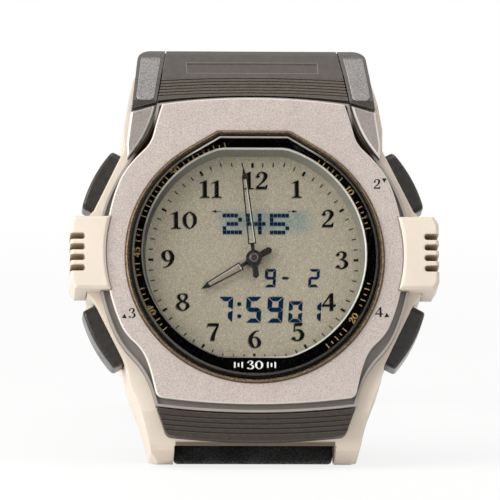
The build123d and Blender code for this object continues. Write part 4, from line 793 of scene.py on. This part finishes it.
# Printed border round the bare label, on the aerial cover's facet
LABEL_HALF, LABEL_HALF_HEIGHT, LABEL_SHIFT, BORDER = 7.45, 0.8, -0.288, 0.09
(low_y, low_z), (high_y, high_z) = HOOD_PROFILE[1:3]
run = math.hypot(high_y - low_y, high_z - low_z)
slope_y, slope_z = (high_y - low_y) / run, (high_z - low_z) / run
verts = []
for lift, grow in ((0.012, BORDER), (0.012, 0.0), (-0.02, 0.0), (-0.02, BORDER)):
    for sx, sy in box(-1, -1, 1, 1):
        climb = LABEL_SHIFT + sy * (LABEL_HALF_HEIGHT + grow)
        verts.append((sx * (LABEL_HALF + grow), (low_y + high_y) / 2 + climb * slope_y - lift * slope_z,
                      (low_z + high_z) / 2 + climb * slope_z + lift * slope_y))
add_mesh("label_border", (verts, quads(4, 4, closed=True)), LABEL_INK, "head")

# Dark sheets deep in the joints between the aerial cover and its caps, standing in for the shade in these
# joints
JOINT_LOW, JOINT_HIGH, JOINT_DEPTH, SHADE_SHEET_DEPTH = (10.86, 17.95), (9.7, 24.75), 0.22, 0.5
SHADE_SHEET_SIDES = box(0.13, JOINT_DEPTH, 0.01, JOINT_DEPTH + SHADE_SHEET_DEPTH)
# Points of the shade sheets' line, each with its way in y and z as it goes deeper
SHADE_SHEET_LINE = (((21.5, 9.42), (0.0, 1.0)), (HOOD_PROFILE[2], (0.5, 0.9)),
             (HOOD_PROFILE[3], (0.9, 0.5)), ((24.75, 6.2), (1.0, 0.0)))


def joint_line(y):
    """Edge of the aerial cover at a height on the dial's front."""
    share = (y - JOINT_LOW[1]) / (JOINT_HIGH[1] - JOINT_LOW[1])
    return JOINT_LOW[0] + (JOINT_HIGH[0] - JOINT_LOW[0]) * share


for way, which in ((-1, "left"), (1, "right")):
    verts = [(way * (joint_line(y - deep * in_y) + slip), y - deep * in_y, z - deep * in_z)
             for (y, z), (in_y, in_z) in SHADE_SHEET_LINE for slip, deep in SHADE_SHEET_SIDES]
    add_mesh(f"hood_joint_shade_{which}", (verts, tube(4, 4)), RUBBER, "head")

# Painted highlights along the inner edges of the open hands, from each hand's length, width, level and
# angle
for name, length, width, level, clock in (("hour_hand", 6.97, 1.0, 8.15, 239.5),
                                          ("minute_hand", 10.8, 0.92, 8.75, 354.0)):
    x0, y0 = width / 2 - 0.15, 1.77
    x1, y1 = width / 2 * 0.66 - 0.15, length * 0.87 - 0.15
    strips = ([(x0 - 0.07, y0), (x0, y0), (x1, y1), (x1 - 0.05, y1)], box(-x0, y0, x0, y0 + 0.06))
    printed(f"{name}_edge", [turned(strip, math.radians(-clock)) for strip in strips], level + 0.13,
            0.1, HAND_HIGHLIGHT, name)


def lathe(profile, steps=32):
    """A turned shape round the dial's axis from (radius, height) points, closed at its middle."""
    verts = [(radius * c, radius * s, z) for radius, z in profile for c, s in circle(steps)]
    return verts, quads(len(profile), steps) + [tuple(range(len(verts) - steps, len(verts)))]


add_mesh("hand_boss", lathe([(0.52, 8.9), (0.51, 9.00), (0.47, 9.04), (0.41, 9.04), (0.38, 8.98),
                             (0.34, 8.96)]), ARBOR, "minute_hand", smooth=True)
add_mesh("arbor_cap", lathe([(0.33, 8.95), (0.32, 9.06), (0.27, 9.11), (0.17, 9.13), (0.14, 9.1)]),
         HAND, "minute_hand", smooth=True)

# A coil spring under each button
BUTTON_TRAVEL, WIRE, SPRING_TURNS, TURN_STEPS, WIRE_SIDES = 0.8, 0.05, 3, 24, 6
DEAD_TURN = 0.12


def coil_spring(place):
    """A coil in the room of the spring's CAD node, on a line out from the dial's axis."""
    node = NODES[f"button_spring_{place}"]
    to_dial = DIAL.inverted() @ node.matrix_world
    points = [to_dial @ v.co for v in node.data.vertices]
    low, high = min(p.z for p in points), max(p.z for p in points)
    level, radius = (low + high) / 2, (high - low) / 2 - WIRE - 0.01
    middle = sum(points, Vector()) / len(points)
    outward = Vector((middle.x, middle.y, 0)).normalized()
    along, up = Vector((-outward.y, outward.x, 0)), Vector((0, 0, 1))
    reaches = [p.dot(outward) for p in points]
    start, end = min(reaches) + 0.005, max(reaches) - 0.01
    count = SPRING_TURNS * TURN_STEPS
    verts = []
    for k in range(count + 1):
        angle = 2 * math.pi * k / TURN_STEPS
        climb = max(0.0, min(1.0, (k / count - DEAD_TURN) / (1 - 2 * DEAD_TURN)))
        spoke = along * math.cos(angle) + up * math.sin(angle)
        centre = outward * (start + WIRE + (end - start - 2 * WIRE) * climb) + up * level
        centre += spoke * radius
        verts += [centre + (spoke * c + outward * s) * WIRE for c, s in circle(WIRE_SIDES)]
    shape = verts, tube(count + 1, WIRE_SIDES)
    obj = add_mesh(f"coil_spring_{place}", shape, STEEL, "head", smooth=True)
    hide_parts(f"button_spring_{place}")
    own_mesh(obj)


for place in BUTTONS:
    coil_spring(place)

# Leather strap in two halves, in mm of the standing frame: y to the rear, z up
LOWER_BAR, UPPER_BAR = (-5.0, 1.9), (7.608, 40.703)
BARREL, BORE, BUCKLE_BARREL, BUCKLE_BORE = 1.9, 0.8, 1.45, 0.66
BEND_CENTRE, BEND_RADIUS, BEND_START = (18.876, -12.311), 54.199, math.radians(102.0)
FLAT_LENGTH, RISE_RADIUS, HOLE_HALF_LENGTH, BUCKLE_HALF_LENGTH = 88.0, 60.0, 112.0, 70.0
STRAP_HALF, STRAP_END_HALF, TAPER_LENGTH, STRAP_THICKNESS = 9.0, 8.0, 34.0, 2.4
TIP_START, TIP_HALF = 102.5, 3.2
HOLES, FIRST_HOLE, HOLE_PITCH, HOLE_RADIUS = 7, 81, 6.5, 0.95
STATION = 1.25


def ease(share):
    share = max(0.0, min(1.0, share))
    return share * share * (3 - 2 * share)


def tapered(reach):
    return STRAP_HALF - (STRAP_HALF - STRAP_END_HALF) * min(1, reach / TAPER_LENGTH)


def flat_path(s):
    """Underside point and outward normal of the half with the holes."""
    if s <= FLAT_LENGTH:
        return (LOWER_BAR[0] + s, 0.0), (0.0, 1.0)
    a = (s - FLAT_LENGTH) / RISE_RADIUS
    return ((LOWER_BAR[0] + FLAT_LENGTH + RISE_RADIUS * math.sin(a),
             RISE_RADIUS * (1 - math.cos(a))), (-math.sin(a), math.cos(a)))


def flat_size(s):
    """Half width and thickness of the half with the holes, which narrows to a round tip."""
    half = tapered(s)
    if s > TIP_START:
        u = (s - TIP_START) / (HOLE_HALF_LENGTH - TIP_START)
        half = TIP_HALF + (STRAP_END_HALF - TIP_HALF) * (1 - u ** 1.7)
    thickness = STRAP_THICKNESS + 0.8 * (1 - ease((s - 1.9) / 24.0))
    return half, thickness - 0.7 * ease((s - 108.0) / 4.0)


def bend_path(s):
    """Underside point and outward normal of the half with the buckle."""
    a = BEND_START - s / BEND_RADIUS
    normal = (math.cos(a), math.sin(a))
    radius = BEND_RADIUS - STRAP_THICKNESS / 2
    return (BEND_CENTRE[0] + radius * normal[0], BEND_CENTRE[1] + radius * normal[1]), normal


def bend_size(s):
    """Half width and thickness of the half with the buckle."""
    half = tapered(bend_path(s)[0][0] - UPPER_BAR[0])
    return half, STRAP_THICKNESS + 0.6 * (1 - ease((s - 3.0) / 22.0))


def strap_top(half, thickness, x):
    """Height of the top over the underside: a stitched border and a crowned middle."""
    inside = half - abs(x)
    edge = 0.62 * (1 - min(1, inside / 0.75)) ** 2.0
    border = 0.24 * (1 - ease((inside - 1.9) / 1.5))
    crown = 0.12 * (1 - (1 - min(1, inside / half)) ** 2) - 0.12
    return thickness - edge - border + crown


def strap_mesh(name, path, size, start, end):
    """The strap's leather as one closed skin: top, sides and lining."""
    columns = [-1.0, -0.985, -0.955, -0.91, -0.85, -0.78, -0.71, -0.62, -0.45, -0.22, 0.0]
    columns += [-c for c in columns[-2::-1]]
    low_columns = [0.975, 0.93, 0.6, 0.2, -0.2, -0.6, -0.93, -0.975]
    stations = int((end - start) / STATION)
    ring = len(columns) + len(low_columns)
    verts = []
    for k in range(stations + 1):
        s = start + (end - start) * k / stations
        (y, z), (ny, nz) = path(s)
        half, thickness = size(s)
        section = [(c * half, strap_top(half, thickness, c * half)) for c in columns]
        section += [(c * half, max(0.0, 0.22 * (abs(c) - 0.93) / 0.07)) for c in low_columns]
        verts += [(x, y + ny * h, z + nz * h) for x, h in section]
    faces = flipped(quads(stations + 1, ring))
    faces.append(tuple(range(ring)))
    faces.append(tuple(range(stations * ring + ring - 1, stations * ring - 1, -1)))
    obj = plain_object(name, verts, faces, (LEATHER, LINING))
    for k, face in enumerate(obj.data.polygons):
        face.material_index = int(k < stations * ring and len(columns) < k % ring < ring - 2)
    return obj


def rod(name, centre, radius, half, edge, mat=LEATHER, steps=40, across=True):
    """A round bar across the strap, or upright, with rounded ends."""
    profile = [(-half, radius - edge), (-half + edge * 0.3, radius - edge * 0.3),
               (-half + edge, radius), (half - edge, radius), (half - edge * 0.3, radius - edge * 0.3),
               (half, radius - edge)]
    verts = []
    for x, r in profile:
        for c, s in circle(steps):
            u, v = centre[0] + r * c, centre[1] + r * s
            verts.append((x, u, v) if across else (u, v, x))
    return plain_object(name, verts, tube(len(profile), steps), (mat,))


def face_outward(mesh):
    bm = bmesh.new()
    bm.from_mesh(mesh)
    bmesh.ops.recalc_face_normals(bm, faces=bm.faces)
    bm.to_mesh(mesh)
    bm.free()


def carve(obj, joined, cut):
    """Join and cut closed shapes, and drop these tools."""
    for tool in (*joined, *cut):
        face_outward(tool.data)
        modifier = obj.modifiers.new("carve", "BOOLEAN")
        modifier.operation = "UNION" if tool in joined else "DIFFERENCE"
        modifier.solver = "EXACT"
        modifier.object = tool
    face_outward(obj.data)
    bpy.context.view_layer.update()
    finished = bpy.data.meshes.new_from_object(
        obj.evaluated_get(bpy.context.evaluated_depsgraph_get()))
    obj.modifiers.clear()
    obj.data = finished
    finished.shade_smooth()
    finished.set_sharp_from_angle(angle=math.radians(38))
    for tool in (*joined, *cut):
        bpy.data.objects.remove(tool)


def stitches(path, size, start, end, body, name):
    """Two rows of thread, one along each border, pressed a little into the leather."""
    pitch, length, thick, inset, sides = 2.7, 1.95, 0.2, 1.55, 8
    shares = (0.0, 0.12, 0.3, 0.5, 0.7, 0.88, 1.0)
    verts, faces = [], []
    for way in (-1, 1):
        for k in range(int((end - start) / pitch)):
            base = len(verts)
            for share in shares:
                s = start + k * pitch + length * share
                (y, z), (ny, nz) = path(s)
                half, thickness = size(s)
                x = way * (half - inset)
                swell = math.sin(math.pi * share) ** 0.5 if 0 < share < 1 else 0.25
                lift = strap_top(half, thickness, x) - 0.1 + 0.12 * swell
                r = thick * (0.45 + 0.55 * swell)
                for c, sine in circle(sides):
                    h = lift + r * 0.75 * sine
                    verts.append((x + r * c, y + ny * h, z + nz * h))
            faces += tube(len(shares), sides, base)
    add_mesh(name, (verts, faces), THREAD, body, ROW, True)


hole_strap = strap_mesh("leather_hole_half", flat_path, flat_size, 0.6, HOLE_HALF_LENGTH)
holes = [rod(f"hole_{k}", (0, FIRST_HOLE - HOLE_PITCH * k), HOLE_RADIUS, 6, 0.1, LINING, 28, False)
         for k in range(HOLES)]
carve(hole_strap, [rod("barrel", LOWER_BAR, BARREL, STRAP_HALF, 0.4)],
      [rod("bore", LOWER_BAR, BORE, STRAP_HALF + 2, 0.1), *holes])
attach(hole_strap, "strap_hole_half")
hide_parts("strap_hole_half")
stitches(flat_path, flat_size, 4.0, 101.5, "strap_hole_half", "thread_hole_half")

# The buckle's end, with its barrel and the slot for the tongue
end_point, end_normal = bend_path(BUCKLE_HALF_LENGTH)
end_forward = (end_normal[1], -end_normal[0])
BUCKLE_CENTRE = tuple(p + STRAP_THICKNESS / 2 * n for p, n in zip(end_point, end_normal))
slot_verts = [(x, *(p + along * f + out * n
                    for p, f, n in zip(BUCKLE_CENTRE, end_forward, end_normal)))
              for x in (-1.2, 1.2) for along, out in box(-3.6, -3.0, 4.0, 3.0)]
buckle_strap = strap_mesh("leather_buckle_half", bend_path, bend_size, 0.4, BUCKLE_HALF_LENGTH - 0.3)
carve(buckle_strap, [rod("barrel", UPPER_BAR, BARREL, STRAP_HALF, 0.4),
                     rod("barrel_end", BUCKLE_CENTRE, BUCKLE_BARREL, STRAP_END_HALF, 0.35)],
      [rod("bore", UPPER_BAR, BORE, STRAP_HALF + 2, 0.1),
       rod("bore_end", BUCKLE_CENTRE, BUCKLE_BORE, STRAP_HALF + 2, 0.1),
       plain_object("tongue_slot", slot_verts, tube(2, 4), (LEATHER,))])
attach(buckle_strap, "strap_buckle_half")
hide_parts("strap_buckle_half")
stitches(bend_path, bend_size, 4.0, 65.5, "strap_buckle_half", "thread_buckle_half")

# The keepers' section, as (along the strap, out of the loop's middle line)
KEEPER_SECTION = ((0.0, 0.0), (0.1, 0.3), (0.35, 0.45), (1.0, 0.38), (2.25, 0.45), (3.5, 0.38),
                  (4.15, 0.45), (4.4, 0.3), (4.5, 0.0), (4.4, -0.3), (4.15, -0.45), (0.35, -0.45),
                  (0.1, -0.3))


def keeper(name, from_bar, low, body):
    """A leather loop round the strap, with rounded edges."""
    inner_half, high, wall, corner, step = 8.3, 3.9, 0.9, 1.0, 1.2
    low_line, high_line = low - wall / 2, high + wall / 2
    half = inner_half + wall / 2
    loop, turn = [], circle(24) * 2
    for first, cx, cz in ((0, half, high_line), (6, -half, high_line), (12, -half, low_line),
                          (18, half, low_line)):
        sx, sz = cx - math.copysign(corner, cx), cz - math.copysign(corner, cz)
        loop += [(sx + corner * c, sz + corner * s, c, s) for c, s in turn[first:first + 7]]
    dense = []
    for point, after in zip(loop, loop[1:] + loop[:1]):
        dense.append(point)
        parts = int(math.hypot(after[0] - point[0], after[1] - point[1]) / step)
        for m in range(1, parts):
            dense.append(tuple(a + (b - a) * m / parts for a, b in zip(point, after)))
    verts = []
    for x, h, nx, nh in dense:
        for along, across in KEEPER_SECTION:
            a = BEND_START - (BUCKLE_HALF_LENGTH - from_bar + along) / BEND_RADIUS
            out = BEND_RADIUS + h + nh * across
            verts.append((x + nx * across, BEND_CENTRE[0] + out * math.cos(a),
                          BEND_CENTRE[1] + out * math.sin(a)))
    faces = quads(len(dense), len(KEEPER_SECTION), closed=True)
    obj = add_mesh(f"leather_{name}", (verts, faces), LEATHER, body, ROW, True)
    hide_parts(name)


keeper("fixed_keeper", 11.0, -1.2, "strap_buckle_half")
keeper("free_keeper", 27.0, -1.35, "free_keeper")


# Floor, backdrop and light
def seen_white(tree, lit, white_kind, share=None):
    """A shader that a camera, a gloss or a glass sees as white, as far as its share."""
    path = add_node(tree, "LightPath").outputs
    factor = path["Is Camera Ray"]
    for ray in ("Is Glossy Ray", "Is Transmission Ray"):
        factor = math_node(tree, "MAXIMUM", factor, path[ray])
    if share:
        factor = times(factor, share)
    white = add_node(tree, white_kind, {"Color": (1, 1, 1), "Strength": 1.0}).outputs[0]
    return add_node(tree, "MixShader", {0: factor, 1: lit, 2: white}).outputs[0]


floor_mat = varied("floor_white", (0.93, 0.925, 0.92), 0.01, 40, 0.6, 0.04, (300, 0.02, 0.1), spec=0.1)
corners = [(x, y, 0) for x, y in box(-3000, -3000, 3000, 3000)]
floor = plain_object("floor", corners, [(0, 1, 2, 3)], (floor_mat,))
tree = floor_mat.node_tree
away = add_node(tree, "VectorMath", {0: own_coords(tree)}, operation="LENGTH").outputs["Value"]
feed(tree.nodes["Material Output"], {"Surface": seen_white(
    tree, tree.nodes["Principled BSDF"].outputs[0], "Emission", map_range(away, 0.82, 1.0, 0.1, 0.4))})

scene.world = bpy.data.worlds.new("studio")
scene.world.use_nodes = True
tree = scene.world.node_tree
tree.nodes.clear()
lit = add_node(tree, "Background", {"Color": (1.0, 0.985, 0.97), "Strength": 0.31}).outputs[0]
add_node(tree, "OutputWorld", {"Surface": seen_white(tree, lit, "Background")})

for name, place, aim, size, power, colour in (
        ("key_left", (-0.42, -0.2, 0.22), (0, 0, 0.02), (0.3, 0.4), 2.55, (1.0, 0.99, 0.97)),
        ("top", (0.02, -0.06, 0.5), (0, 0.01, 0.02), (0.45, 0.45), 1.1, (1, 1, 1)),
        ("right_fill", (0.42, -0.3, 0.2), (0, 0, 0.02), (0.3, 0.4), 0.42, (1.0, 0.98, 0.96))):
    data = bpy.data.lights.new(name, "AREA")
    data.energy, data.color, data.shape = power, colour, "RECTANGLE"
    data.size, data.size_y = size
    light = new_object(name, data)
    light.location = place
    light.rotation_mode = "QUATERNION"
    light.rotation_quaternion = (Vector(aim) - Vector(place)).to_track_quat("-Z", "Y")

scene.view_settings.view_transform = "Standard"
